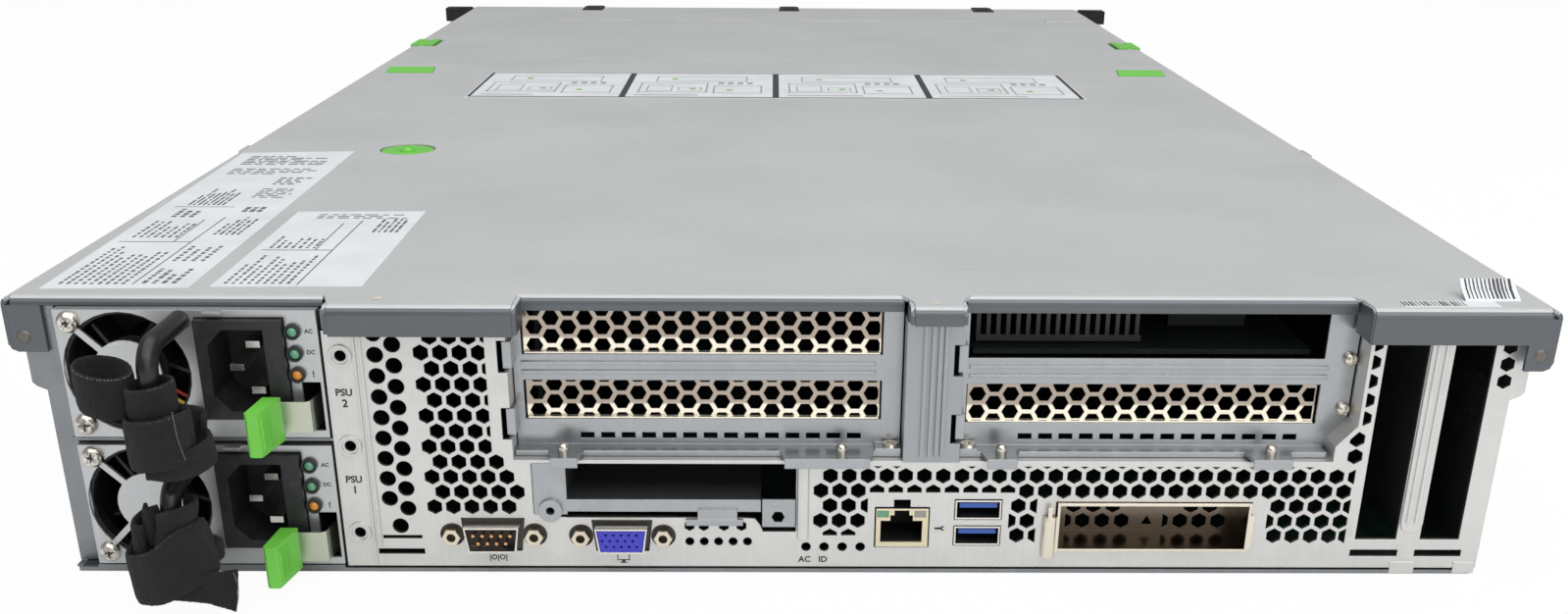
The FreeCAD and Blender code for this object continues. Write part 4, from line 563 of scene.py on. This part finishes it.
# the bracket's inner area takes the dark brown painted reflection
dress("module_bracket", BRACKET_CREAM, (BRACKET_DARK_REFLECTION, (85.0, 142.2), (4.2, 30.0), (7.9, 23.6)))
dress("rear_screws", SCREW_METAL)
dress("processor_coolers", COOLER_METAL)
dress("lid_pads", PAD_GREEN)
dress("lid_labels", FILM_WHITE)
dress("power_button", BUTTON_GREY)
for k in (1, 2, 3, 4):
    dress("cooling_fan_%d" % k, BLACK)
    dress("drive_%d" % k, DARK_GREY)
    dress("drive_lever_%d" % k, BLACK)
print("plain nodes dressed")

# %% [markdown]
# The sockets and the power supplies have zones. The serial socket has copper pins in a black block, the
# screen socket a blue block, and the supply face a black fan frame behind a stamped zinc guard.

# %% Sockets and supplies
SERIAL_X, SERIAL_Z = -85.9, 12.6
SCREEN_X, SCREEN_Z = -47.0, 12.3
POST_REACH = 12.45


def about(middle, half):
    return middle - half, middle + half


# the socket shells behind the plate are painted near-black as painted shade
serial_zones = [(CUT_EDGE_AND_SHADE, FAR, (6.1, 30.0), FAR),
                (INK_BLACK, about(SERIAL_X, 8), (4.3, 18.0), about(SERIAL_Z, 3.7)),
                (PIN_COPPER, about(SERIAL_X, 6.2), (-1.0, 4.38), about(SERIAL_Z, 1.9))]
screen_zones = [(CUT_EDGE_AND_SHADE, FAR, (6.1, 30.0), FAR),
                (PORT_BLUE, about(SCREEN_X, 7.35), (0.86, 4.45), about(SCREEN_Z, 3.58))]
for zones, x_mid, z_mid in ((serial_zones, SERIAL_X, SERIAL_Z), (screen_zones, SCREEN_X, SCREEN_Z)):
    for side in (-1, 1):
        zones.append((POST_NICKEL, about(x_mid + side * POST_REACH, 2.95), (2.0, 6.1), about(z_mid, 3)))
dress("serial_port", SHELL_NICKEL, *serial_zones)
dress("vga_port", SHELL_NICKEL, *screen_zones)
dress("lan_port", JACK_GOLD, (DEEP_BLACK, FAR, (5.85, 30.0), FAR),
      (LENS_GREEN, (30.15, 33.55), (4.65, 5.75), (18.75, 20.85)),
      (LENS_GREY, (41.45, 44.75), (4.65, 5.75), (18.75, 20.85)),
      (PIN_COPPER, (33.8, 42.0), (7.9, 18.1), (19.9, 20.5)))
tongues = [(TONGUE_BLUE, (54.9, 66.5), (5.7, 18.3), about(z_mid, 0.9)) for z_mid in (22.3, 13.7)]
dress("usb_ports", SHELL_NICKEL, (DEEP_BLACK, (54.0, 67.1), (5.3, 30.0), FAR), *tongues)
SUPPLY_DROP = {2: 0.0, 1: node_mm("psu_1_case")[0][2] - node_mm("psu_2_case")[0][2]}
for number, drop in SUPPLY_DROP.items():
    tag = "psu_%d_" % number
    dress(tag + "case", SUPPLY_ZINC, (DEEP_BLACK, (-205.8, -168.9), (6.15, 40.0), (44.8 + drop, 82.2 + drop)),
          (DEEP_BLACK, (-166.7, -132.6), (6.2, 40.0), (45.5 + drop, 80.7 + drop)))
    pins = [(BLADE_METAL, about(x, 2.1), (6.0, 19.7), about(z + drop, 1.1))
            for x, z in ((-151.2, 72.3), (-156.6, 65.3), (-151.2, 58.3))]
    dress(tag + "inlet", BLACK, *pins)
    lamps = [(lens, (-138.9, z + drop, 1.62), (2.9, 5.2))
             for lens, z in ((LENS_GREEN, 76.6), (LENS_GREEN, 70.0), (LENS_AMBER, 63.6))]
    dress(tag + "lights", BLACK, *lamps)
    dress(tag + "fan", BLACK)
    dress(tag + "latch", TOUCH_GREEN, (LEAF_NICKEL, (-143.5, -130.0), (-0.95, 40.0), FAR))
    dress(tag + "handle", HANDLE_BLACK)
    dress(tag + "strap", CLOTH)
print("sockets and supplies dressed, lower supply drop", round(SUPPLY_DROP[1], 2), "mm")

# %% [markdown]
# ## Straps
# Each power supply has a cloth strap wound loosely round its pull handle. A strap is a ribbon: a smooth
# curve through a few given rows of (x, depth, z, width, lean), with a thin rounded cross-section laid
# across it. A little random roughness on the points gives the fuzzy outline of hook-and-loop pile.

# %% Ribbon maker
PILE_RANDOM = np.random.default_rng(11)


def ribbon_frame(rows, count):
    """Centre, across and outward directions and width at count places along the control rows."""
    line = spline(rows, count)
    centre = line[:, :3]
    along = unit(np.gradient(centre, axis=0))
    lean = np.stack([line[:, 4], np.zeros(count), np.ones(count)], axis=1)
    across = unit(lean - along * np.sum(lean * along, axis=1, keepdims=True))
    return centre, across, np.cross(along, across), line[:, 3]


def ribbon(name, rows, body, thick, count=150, fuzz=0.055):
    """A cloth band: centre + s * width / 2 * across + n * thick / 2 * outward, thinner towards both hems."""
    centre, across, outward, width = ribbon_frame(rows, count)
    s = np.concatenate([np.linspace(-1, 1, 13), np.linspace(1, -1, 13)])
    n = np.concatenate([np.ones(13), -np.ones(13)]) * (1 - 0.55 * np.abs(s) ** 6)
    grid = centre[:, None] + (s * 0.5)[None, :, None] * width[:, None, None] * across[:, None]
    grid = grid + (n * thick / 2)[None, :, None] * outward[:, None]
    grid = grid + PILE_RANDOM.normal(0, fuzz, grid.shape)
    faces = grid_faces(count, 26, False, True).tolist()
    faces.append(list(range(25, -1, -1)))
    faces.append([(count - 1) * 26 + k for k in range(26)])
    return piece(name, to_metres(grid), faces, CLOTH, body, flip=True)


def stitches(name, rows, body, start, stop, pitch=0.85, inset=0.35, lift=0.25, size=(0.34, 0.2)):
    """Small thread ends along one hem: six-cornered beads set every pitch, stretched along the hem."""
    centre, across, outward, width = ribbon_frame(rows, 400)
    hem = centre + across * (width / 2 - inset)[:, None] + outward * lift
    hem = hem[int(start * 399):int(stop * 399) + 1]
    steps = np.linalg.norm(np.diff(hem, axis=0), axis=1)
    walked = np.concatenate([[0], np.cumsum(steps)])
    marks = np.arange(0.4, walked[-1], pitch)
    place = np.stack([np.interp(marks, walked, hem[:, k]) for k in range(3)], axis=1)
    ahead = np.stack([np.interp(marks + 0.2, walked, hem[:, k]) for k in range(3)], axis=1)
    along = unit(ahead - place + 1e-9)
    side = unit(np.cross(along, (0.0, 0.3, 1.0)))
    up = np.cross(side, along)
    corners = np.stack([place + along * size[0], place - along * size[0], place + side * size[1],
                        place - side * size[1], place + up * size[1], place - up * size[1]], axis=1)
    pattern = np.array([[0, 2, 4], [0, 4, 3], [0, 3, 5], [0, 5, 2],
                        [1, 4, 2], [1, 3, 4], [1, 5, 3], [1, 2, 5]])
    faces = (np.arange(len(place))[:, None, None] * 6 + pattern[None]).reshape(-1, 3)
    return piece(name, to_metres(corners.reshape(-1, 3)), faces.tolist(), STITCH, body,
                 smooth=False)


def turn_rows(centre, radius, z_mid, width, start, stop, count, tilt, grow=0.0):
    """Control rows of a turn round an upright axis: the height rises with tilt, and grow widens it."""
    t = np.radians(np.linspace(start, stop, count))
    r = np.asarray(radius)[None, :] + grow * np.linspace(0, 1, count)[:, None]
    dx = r[:, 0] * np.cos(t)
    dy = r[:, 1] * np.sin(t)
    z = z_mid + tilt[0] * dx + tilt[1] * dy
    return np.stack([centre[0] + dx, centre[1] + dy, z, np.full(count, width), np.zeros(count)], axis=1)


print("ribbon maker ready")

# %% [markdown]
# The upper strap goes twice round the wire, with a wider turn low down that ends in a stitched hem at the
# right, and its left end stands off in an open loop. The lower strap is bunched at the top and has one
# broad leaning turn whose end flares away to the right.

# %% Straps of both power supplies
HANDLE_RADIUS = 2.9
WIRE_LOW, WIRE_HIGH = node_mm("psu_2_handle")
WIRE_X = (WIRE_LOW[0] + WIRE_HIGH[0]) / 2
WIRE_Y = WIRE_LOW[1] + HANDLE_RADIUS
loop = turn_rows((WIRE_X - 12.8, WIRE_Y + 1.4), (7.0, 7.8), 68.6, 11.6, -10, 352, 15, (-0.26, 0.02))
upper = turn_rows((WIRE_X - 0.4, WIRE_Y), (5.9, 5.6), 65.8, 9.4, 150, 560, 18, (0.12, 0.02), 0.7)
lower = turn_rows((WIRE_X + 0.6, WIRE_Y - 0.8), (7.6, 7.4), 55.0, 14.6, 40, 350, 16, (0.10, -0.02), 0.9)
lower_tail = [[-164.6, -28.4, 56.2, 14.0, -0.06], [-162.4, -25.6, 56.6, 13.0, -0.06],
              [-161.6, -21.0, 56.6, 12.0, 0.0], [-163.6, -17.4, 56.8, 11.0, 0.0]]
curl = [[-172.5, -29.0, 48.6, 7.5, 0.1], [-166.0, -28.6, 48.2, 8.0, 0.1],
        [-160.4, -25.6, 48.8, 8.0, 0.0], [-157.4, -20.6, 50.2, 7.6, -0.1],
        [-159.0, -16.2, 51.4, 7.0, -0.1], [-163.0, -15.0, 51.8, 6.5, -0.1]]
knob = [[-168.0, -16.8, 58.6, 7.0, 0.0], [-164.0, -16.0, 58.4, 7.2, 0.0], [-160.4, -15.4, 57.4, 6.4, 0.1],
        [-159.4, -17.6, 56.6, 5.6, 0.1]]
main_upper = ribbon("strap_2_lower_turn", lower, "psu_2", 1.5)
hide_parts("psu_2_strap")
for name, rows, thick, count in (("upper_turn", upper, 1.3, 150), ("loop", loop, 1.1, 150),
                                 ("outer_end", lower_tail, 1.3, 60), ("curl", curl, 1.6, 90),
                                 ("knob", knob, 1.6, 60)):
    ribbon("strap_2_" + name, rows, "psu_2", thick, count)
stitches("strap_2_loop_stitch", loop, "psu_2", 0.0, 1.0)
stitches("strap_2_upper_stitch", upper, "psu_2", 0.0, 0.72)
stitches("strap_2_lower_stitch", lower, "psu_2", 0.30, 1.0)
end_hem = [[-163.1, -28.4, 64.6, 0.2, 0.0], [-162.7, -28.5, 57.0, 0.2, 0.0], [-161.7, -28.2, 50.6, 0.2, 0.0]]
stitches("strap_2_end_stitch", end_hem, "psu_2", 0.0, 1.0, 0.8, 0.1, 0.0, (0.40, 0.15))

broad = [[-166.0, -14.6, 23.5, 15.0, -0.2], [-174.0, -13.6, 18.5, 17.0, -0.2],
         [-181.4, -17.0, 14.6, 17.0, -0.1], [-183.4, -23.2, 13.6, 15.6, -0.05],
         [-180.6, -29.2, 14.4, 15.4, -0.1], [-175.0, -32.0, 15.8, 15.8, -0.15],
         [-169.6, -32.0, 18.2, 15.8, -0.2], [-164.6, -29.6, 21.2, 17.4, -0.25],
         [-161.2, -25.0, 22.8, 16.0, -0.25], [-161.6, -19.4, 23.4, 13.0, -0.2]]
tail = [[-172.0, -31.0, 12.0, 6.0, 0.0], [-166.0, -30.0, 11.6, 7.2, 0.0], [-160.6, -28.4, 11.2, 9.6, 0.1],
        [-156.4, -27.4, 10.4, 12.0, 0.15], [-153.4, -27.2, 9.9, 13.4, 0.15]]
bunch_left = [[-175.6, -17.0, 26.8, 11.0, 0.0], [-179.4, -19.6, 26.2, 11.0, 0.05],
              [-180.8, -24.0, 25.6, 10.6, 0.05], [-179.0, -27.6, 25.4, 10.6, 0.0],
              [-176.6, -28.2, 25.4, 10.4, -0.05]]
bunch_mid = [[-178.0, -22.0, 29.4, 10.6, 0.1], [-176.8, -25.4, 29.6, 11.0, 0.1],
             [-174.6, -26.6, 29.6, 11.0, 0.0], [-173.6, -23.4, 29.8, 10.0, 0.0]]
bunch_right = [[-174.4, -24.4, 27.0, 9.0, 0.3], [-172.0, -27.8, 28.2, 10.4, 0.3],
               [-167.8, -28.2, 29.6, 12.0, 0.3], [-164.6, -25.0, 30.2, 12.4, 0.25],
               [-164.8, -20.4, 30.2, 12.0, 0.2], [-168.4, -17.0, 30.0, 11.0, 0.1]]
side_knob = [[-167.0, -18.4, 19.6, 7.0, 0.0], [-162.8, -18.0, 19.8, 7.0, 0.0],
             [-159.6, -19.0, 19.6, 6.0, 0.0], [-160.4, -22.0, 18.6, 5.0, 0.0]]
main_lower = ribbon("strap_1_broad_turn", broad, "psu_1", 1.6)
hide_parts("psu_1_strap")
for name, rows, thick, count in (("tail", tail, 1.6, 90), ("bunch_left", bunch_left, 1.6, 80),
                                 ("bunch_middle", bunch_mid, 1.6, 80), ("bunch_right", bunch_right, 1.6, 90),
                                 ("side_knob", side_knob, 2.0, 60)):
    ribbon("strap_1_" + name, rows, "psu_1", thick, count)
stitches("strap_1_broad_stitch", broad, "psu_1", 0.42, 0.86, 0.5, 0.3, 0.3, (0.34, 0.13))
stitches("strap_1_bunch_stitch", bunch_right, "psu_1", 0.0, 0.7, 0.6, 0.3, 0.3, (0.34, 0.13))
tail_hem = [[-153.4, -28.0, 16.2, 0.2, 0.0], [-152.6, -28.1, 10.6, 0.2, 0.0], [-154.2, -28.0, 3.9, 0.2, 0.0]]
stitches("strap_1_tail_stitch", tail_hem, "psu_1", 0.0, 1.0, 0.6, 0.1, 0.0, (0.36, 0.14))
print("straps made")

# %% [markdown]
# ## Screw heads
# A pan head is a turned dome, and its driver recess is two crossing slots sunk into it. Both are one height
# field on a round grid, so the recess has sloping walls, and its deep faces are painted dark as painted
# shade.

# %% Pan head screws
def pan_head(name, x, depth, z, radius, high, body, angle=20.0):
    """Dome height high * sqrt(1 - (q / radius)^2.6), less a cross-shaped recess with sloping walls."""
    rings = 26
    spokes = 64
    q = np.concatenate([[0.02], np.linspace(0.06, 1.0, rings - 1)]) * radius
    t = np.linspace(0, 2 * np.pi, spokes, endpoint=False)
    qq, tt = np.meshgrid(q, t, indexing="ij")
    up = high * np.sqrt(np.clip(1 - (qq / radius) ** 2.6, 0, 1))
    turn = tt + np.radians(angle)
    a, b = qq * np.cos(turn), qq * np.sin(turn)
    arms = np.maximum(np.minimum(1 - np.abs(a) / (0.66 * radius), 0.62 - np.abs(b) / (0.30 * radius)),
                      np.minimum(1 - np.abs(b) / (0.66 * radius), 0.62 - np.abs(a) / (0.30 * radius)))
    sunk = np.clip(arms / 0.22, 0, 1)
    up = up - 0.62 * high * sunk
    grid = np.stack([x + qq * np.cos(tt), depth - up, z + qq * np.sin(tt)], axis=-1)
    faces = grid_faces(rings, spokes, False, True).tolist()
    faces.append(list(range(spokes)))
    head = piece(name, to_metres(grid), faces, SCREW_METAL, body)
    # faces deep in the cross recess get the dark metal, which is painted shade
    head.data.materials.append(RECESS_SHADE)
    inner = (sunk[:-1] > 0.85).reshape(-1)
    head.data.polygons.foreach_set("material_index", np.append(inner, True).astype(np.int32))
    return head


for number, drop in SUPPLY_DROP.items():
    for k, z in enumerate((79.2, 48.2)):
        pan_head("supply_screw_%d_%d" % (number, k), -202.4, 4.95, z + drop, 3.25, 2.55,
                 "psu_%d" % number, 12 + 31 * k + 17 * number)
for k, z in enumerate((66.6, 50.9)):
    pan_head("riser_screw_%d" % k, 169.0, 13.45, z, 2.25, 2.25, "chassis", 40 + 20 * k)
print("screw heads made")

# %% [markdown]
# ## Wires behind the guards
# Three thin wires of each supply fan cross the lower right of its opening, behind the stamped guard.

# %% Fan wires
WIRE_RADIUS = 0.55
WIRE_RUN = np.array([[-186.0, 10.0, 60.4], [-180.4, 9.9, 56.4], [-176.2, 9.8, 53.6], [-172.6, 10.2, 51.4],
                     [-169.9, 11.6, 50.6]])
WIRES = ((WIRE_YELLOW, 0.0, 0.0), (WIRE_RED, 2.2, 1.2), (WIRE_PURPLE, -1.5, 0.8))
for number, drop in SUPPLY_DROP.items():
    for k, (paint, dz, dy) in enumerate(WIRES):
        path = spline(WIRE_RUN + [0.0, dy, dz + drop], 30)
        tube("fan_wire_%d_%d" % (number, k), path, WIRE_RADIUS, 10, paint, "psu_%d" % number)
print("wires made")

# %% [markdown]
# ## Printing
# Letters are made as text, turned to mesh, and laid a few hundredths of a millimetre off the sheet. Labels
# are printed with plain rules, grey line work and rows of small dashes that stand for text.

# %% Lettering on the rear plate
INK_DEPTH = PANEL_DEPTH - 0.05
NAME_STEP = 0.664  # the two supply names stand closer together than the supplies do


def lettering(name, text, x, z, size, body="chassis"):
    """Flat black letters whose centre is at (x, z) on the rear face."""
    curve = bpy.data.curves.new(name, "FONT")
    curve.body = text
    curve.size = size
    curve.align_x = "CENTER"
    curve.align_y = "CENTER"
    curve.resolution_u = 3
    curve.offset = 0.03 * size
    holder = bpy.data.objects.new(name, curve)
    bpy.context.scene.collection.objects.link(holder)
    flat = bpy.data.meshes.new_from_object(holder.evaluated_get(bpy.context.evaluated_depsgraph_get()))
    points = np.empty(len(flat.vertices) * 3)
    flat.vertices.foreach_get("co", points)
    points = points.reshape(-1, 3)
    faces = [list(f.vertices) for f in flat.polygons]
    bpy.data.objects.remove(holder)
    bpy.data.curves.remove(curve)
    bpy.data.meshes.remove(flat)
    placed = np.stack([x + points[:, 0], np.full(len(points), INK_DEPTH), z + points[:, 1]], axis=1)
    return piece(name, to_metres(placed), faces, INK_BLACK, body, smooth=False)


def icon(name, rects):
    return quads_at(name, rects, INK_DEPTH, INK_BLACK, "chassis")


SUPPLY_NAME_X = -126.3
LAMP_NAME_X = -134.4
LAMP_NAMES = (("AC", "AC", 76.6, 1.7), ("DC", "DC", 70.3, 1.7), ("fault", "!", 63.6, 2.6))
for number, drop in SUPPLY_DROP.items():
    lettering("name_psu_%d" % number, "PSU", SUPPLY_NAME_X, 58.0 + drop * NAME_STEP, 3.0)
    lettering("number_psu_%d" % number, str(number), SUPPLY_NAME_X, 54.6 + drop * NAME_STEP, 3.3)
    for label, text, z, size in LAMP_NAMES:
        lettering("lamp_%s_%d" % (label, number), text, LAMP_NAME_X, z + drop, size, "psu_%d" % number)
lettering("name_ac", "AC", 8.3, 4.4, 2.7)
lettering("name_id", "ID", 13.9, 4.4, 2.7)
lettering("name_serial", "|O|O|", -85.0, 4.9, 2.3)
icon("icon_screen", [(-48.8, 4.0, -45.0, 4.3), (-48.8, 6.2, -45.0, 6.5), (-48.8, 4.3, -48.5, 6.2),
                     (-45.3, 4.3, -45.0, 6.2), (-47.4, 3.4, -46.4, 4.0), (-48.0, 3.1, -45.8, 3.4)])
icon("icon_service", [(47.6, 14.6, 50.0, 15.3), (49.6, 14.2, 50.5, 14.6), (49.6, 15.3, 50.5, 15.7)])
print("lettering made")

# %% [markdown]
# The long label across the lid has four white panels between dark rules, each with pale line drawings and
# a few green dots. The two rating labels carry blocks of small grey print, and the flap a row of bars.

# %% Label printing
LABEL_THICK = 0.22
LABEL_TOP = node_mm("lid_labels")[0][2] + LABEL_THICK
PRINT = np.random.default_rng(5)


def print_label(name, rects, material, lift=0.0):
    return quads_at(name, rects, LABEL_TOP + lift, material, "rear_lid", face="lid")


def dashes(x0, x1, y0, y1, pitch, high, longest):
    """Rows of dashes of uneven length that stand for lines of small text, running along the depth."""
    out = []
    for x in np.arange(x0, x1, pitch):
        y = y0
        stop = y0 + (y1 - y0) * PRINT.uniform(0.55, 1.0)
        while y < stop:
            length = PRINT.uniform(1.2, longest)
            out.append((x, y, x + high, min(y + length, y1)))
            y += length + PRINT.uniform(0.9, 1.8)
    return out


def outline(x0, y0, x1, y1, w):
    return [(x0, y0, x1, y0 + w), (x0, y1 - w, x1, y1), (x0, y0, x0 + w, y1), (x1 - w, y0, x1, y1)]


PANEL_WIDE = 73.4
panels = [(left, 359.0, left + PANEL_WIDE, 435.2) for left in -152.0 + 76.6 * np.arange(4)]
print_label("service_label_ground", [(-153.6, 357.6, 153.2, 436.6)], INK_GREY)
print_label("service_label_panels", panels, FILM_WHITE, 0.05)
FRAMES = ((5, 14, 40, 44, 0.8), (43, 12, 68, 36, 0.8), (9, 18, 22, 36, 0.6), (25, 20, 37, 30, 0.6),
          (12, 50, 60, 66, 0.7))
DOTS = ((31, 24, 34, 27), (50, 20, 53, 23), (20, 56, 23, 59))
line_work = []
dots = []
for k, (x0, y0, x1, y1) in enumerate(panels):
    for a, b, c, d, w in FRAMES:
        line_work += outline(x0 + a, y0 + b, x0 + c, y0 + d, w)
    line_work.append((x0 + 4, y0 + 5, x0 + 30 + 6 * k, y0 + 6.6))
    line_work += [(x0 + 45 + 5 * j, y0 + 41, x0 + 48 + 5 * j, y0 + 47) for j in range(4)]
    dots += [(x0 + a, y0 + b, x0 + c, y0 + d) for a, b, c, d in DOTS]
print_label("service_label_lines", line_work, INK_DRAWING, 0.10)
print_label("service_label_dots", dots, INK_GREEN, 0.15)

# blocks of small print: x range, depth range, line pitch, line height, longest word
read_along_depth = [(-211.0, -191.0, 21, 66, 2.3, 0.95, 2.6), (-210.5, -196.0, 76, 98, 2.3, 0.9, 4.0),
                    (-187.0, -177.0, 22, 38, 2.9, 1.3, 3.0), (-187.0, -177.0, 47, 70, 2.9, 1.2, 2.2),
                    (-185.5, -177.0, 80, 104, 1.9, 0.9, 5.0), (-208.5, -195.0, 122, 148, 1.7, 0.75, 9.0),
                    (-186.5, -179.0, 112, 122, 2.6, 1.7, 4.0), (-208.0, -201.0, 104, 116, 3.0, 1.6, 3.0),
                    (-163.0, -142.5, 22, 58, 2.3, 0.95, 2.6), (-162.0, -148.0, 63, 78, 2.3, 0.9, 3.5),
                    (-134.5, -125.5, 84, 102, 1.9, 0.9, 6.0)]
read_across = [(-190.0, -177.0, 134, 150, 2.7, 1.0, 4.0), (-189.0, -176.5, 156, 168, 3.4, 1.5, 3.0),
               (-212.0, -178.0, 174, 186, 3.0, 1.1, 4.5), (-212.5, -180.0, 192, 210, 3.0, 1.2, 6.0),
               (-158.0, -127.0, 103, 110, 2.4, 0.9, 5.0)]
rating = []
for x0, x1, y0, y1, pitch, high, longest in read_along_depth:
    rating += dashes(x0, x1, y0, y1, pitch, high, longest)
for x0, x1, y0, y1, pitch, high, longest in read_across:
    rating += [(b, a, d, c) for a, b, c, d in dashes(y0, y1, x0, x1, pitch, high, longest)]
rating += [(-189.4, 21, -189.0, 104), (-212.5, 70.0, -189.4, 70.5), (-195.2, 70.5, -194.8, 100),
           (-212.0, 119.0, -191.0, 119.4), (-141.4, 21, -141.0, 100), (-163.5, 60.3, -141.4, 60.8),
           (-146.9, 60.8, -146.5, 96)]
print_label("rating_print", rating, INK_PALE)
bar_starts = np.arange(178.4, 197.0, 1.1)
bar_widths = PRINT.uniform(0.25, 0.7, len(bar_starts))
print_label("flap_bars", [(x, 3.6, x + w, 8.0) for x, w in zip(bar_starts, bar_widths)], INK_GREY)

# bars on the curled part follow its slope: rows of (depth, height) over each bar's width
slope = np.array([[9.4, 0.62], [12.7, 2.68], [15.1, 5.06]])
bar_left = np.arange(199.2, 212.6, 1.15)
bar_right = bar_left + PRINT.uniform(0.3, 0.75, len(bar_left))
bar_x = np.stack([bar_left, bar_right], axis=1)
bar_points = np.empty((len(bar_left), 3, 2, 3))
bar_points[..., 0] = bar_x[:, None, :]
bar_points[..., 1] = slope[None, :, None, 0]
bar_points[..., 2] = slope[None, :, None, 1] + LABEL_TOP - LABEL_THICK
first = 6 * np.arange(len(bar_left))[:, None] + np.array([0, 2])[None, :]
bar_faces = np.stack([first, first + 1, first + 3, first + 2], axis=-1).reshape(-1, 4)
piece("flap_curl_bars", to_metres(bar_points.reshape(-1, 3)), bar_faces.tolist(), INK_GREY, "rear_lid",
      smooth=False)
tape_specks = [(-115.6, 6.6, -113.2, 9.4), (44.2, 4.0, 46.4, 6.0)]
quads_at("tape_specks", tape_specks, LABEL_TOP - 0.15, TAPE_CREAM, "rear_lid", face="lid")
print("labels printed:", len(rating), "dashes")

# %% [markdown]
# ## Light, floor and camera
# A catalogue picture of sheet metal wants one very large soft light above and a little in front, a weaker
# one that fills the rear face, and a pale room for the metal to reflect.

# %% Studio
def soft_light(name, place, target, size, power):
    lamp = bpy.data.lights.new(name, "AREA")
    lamp.shape = "SQUARE"
    lamp.size = size
    lamp.energy = power
    obj = bpy.data.objects.new(name, lamp)
    bpy.context.scene.collection.objects.link(obj)
    away = np.asarray(place, float) - np.asarray(target, float)
    away = away / np.linalg.norm(away)
    side = np.cross((0.0, 1.0, 0.0) if abs(away[2]) > 0.95 else (0.0, 0.0, 1.0), away)
    side = side / np.linalg.norm(side)
    up = np.cross(away, side)
    turn = np.eye(4)
    turn[:3, 0], turn[:3, 1], turn[:3, 2], turn[:3, 3] = side, up, away, place
    obj.matrix_world = Matrix(turn.tolist())


def show_white(tree, white):
    """Mixes a white emission in for camera and see-through rays, so the room looks pale to the eye."""
    rays = tree.nodes.new("ShaderNodeLightPath")
    seen = sums(tree, "MAXIMUM", rays.outputs["Is Camera Ray"], rays.outputs["Is Transmission Ray"])
    mix = tree.nodes.new("ShaderNodeMixShader")
    tree.links.new(sums(tree, "MULTIPLY", seen, white), mix.inputs[0])
    return mix


def make_room():
    world = bpy.data.worlds.new("pale_room")
    bpy.context.scene.world = world
    world.use_nodes = True
    t = world.node_tree
    ambient = t.nodes["Background"]
    ambient.inputs["Color"].default_value = (0.96, 0.98, 1.0, 1)
    ambient.inputs["Strength"].default_value = 0.30
    bright = t.nodes.new("ShaderNodeBackground")
    bright.inputs["Color"].default_value = (1, 1, 1, 1)
    mix = show_white(t, 1.0)
    t.links.new(ambient.outputs[0], mix.inputs[1])
    t.links.new(bright.outputs[0], mix.inputs[2])
    t.links.new(mix.outputs[0], t.nodes["World Output"].inputs["Surface"])


def make_floor():
    """One large flat square just under the part, mostly white to the eye so that a faint shadow remains."""
    half = 12.0
    below = -0.0004
    corners = [[a * half, b * half, below] for a, b in ((-1, -1), (1, -1), (1, 1), (-1, 1))]
    mesh = bpy.data.meshes.new("studio_floor")
    mesh.from_pydata(corners, [], [[0, 1, 2, 3]])
    floor = bpy.data.objects.new("studio_floor", mesh)
    bpy.context.scene.collection.objects.link(floor)
    material = bpy.data.materials.new("floor_paper")
    material.use_nodes = True
    t = material.node_tree
    shader = t.nodes["Principled BSDF"]
    shader.inputs["Base Color"].default_value = (0.9, 0.9, 0.9, 1)
    shader.inputs["Roughness"].default_value = 0.9
    glow = t.nodes.new("ShaderNodeEmission")
    glow.inputs["Color"].default_value = (1, 1, 1, 1)
    mix = show_white(t, 0.95)
    t.links.new(shader.outputs[0], mix.inputs[1])
    t.links.new(glow.outputs[0], mix.inputs[2])
    t.links.new(mix.outputs[0], t.nodes["Material Output"].inputs["Surface"])
    mesh.materials.append(material)


make_room()
make_floor()
soft_light("overhead_soft_box", (0.1, -0.5, 1.9), (0, 0, 0.05), 3.0, 47.0)
soft_light("rear_fill", (0.9, -2.1, 1.25), (0.05, -0.37, 0.05), 2.4, 19.0)
print("studio ready")

# %% [markdown]
# The camera stands a little above the lid, close behind the rear face, and looks down at about twenty-three
# degrees. A view camera's rising back keeps the uprights nearly parallel, and the lens shift stands for it.

# %% Camera
FOCAL_WIDTHS = 1557.42 / 1599.0
SENSOR = 36.0


def make_camera():
    data = bpy.data.cameras.new("rear_view")
    data.sensor_width = SENSOR
    data.lens = SENSOR * FOCAL_WIDTHS
    data.shift_x = -0.0016
    data.shift_y = 0.1147
    data.clip_start = 0.01
    data.clip_end = 60.0
    camera = bpy.data.objects.new("rear_view", data)
    bpy.context.scene.collection.objects.link(camera)
    right = np.array([0.9999558, -0.0072987, 0.0059291])
    down = np.array([0.0025328, -0.3981747, -0.9173061])
    ahead = np.array([0.0090559, 0.9172806, -0.3981386])
    turn = np.eye(4)
    turn[:3, 0], turn[:3, 1], turn[:3, 2] = right, -down, -ahead
    turn[:3, 3] = to_metres(np.array([-1.462, -414.444, 210.574]))
    camera.matrix_world = Matrix(turn.tolist())
    bpy.context.scene.camera = camera


make_camera()
bpy.context.scene.view_settings.view_transform = "Standard"
print("camera ready")
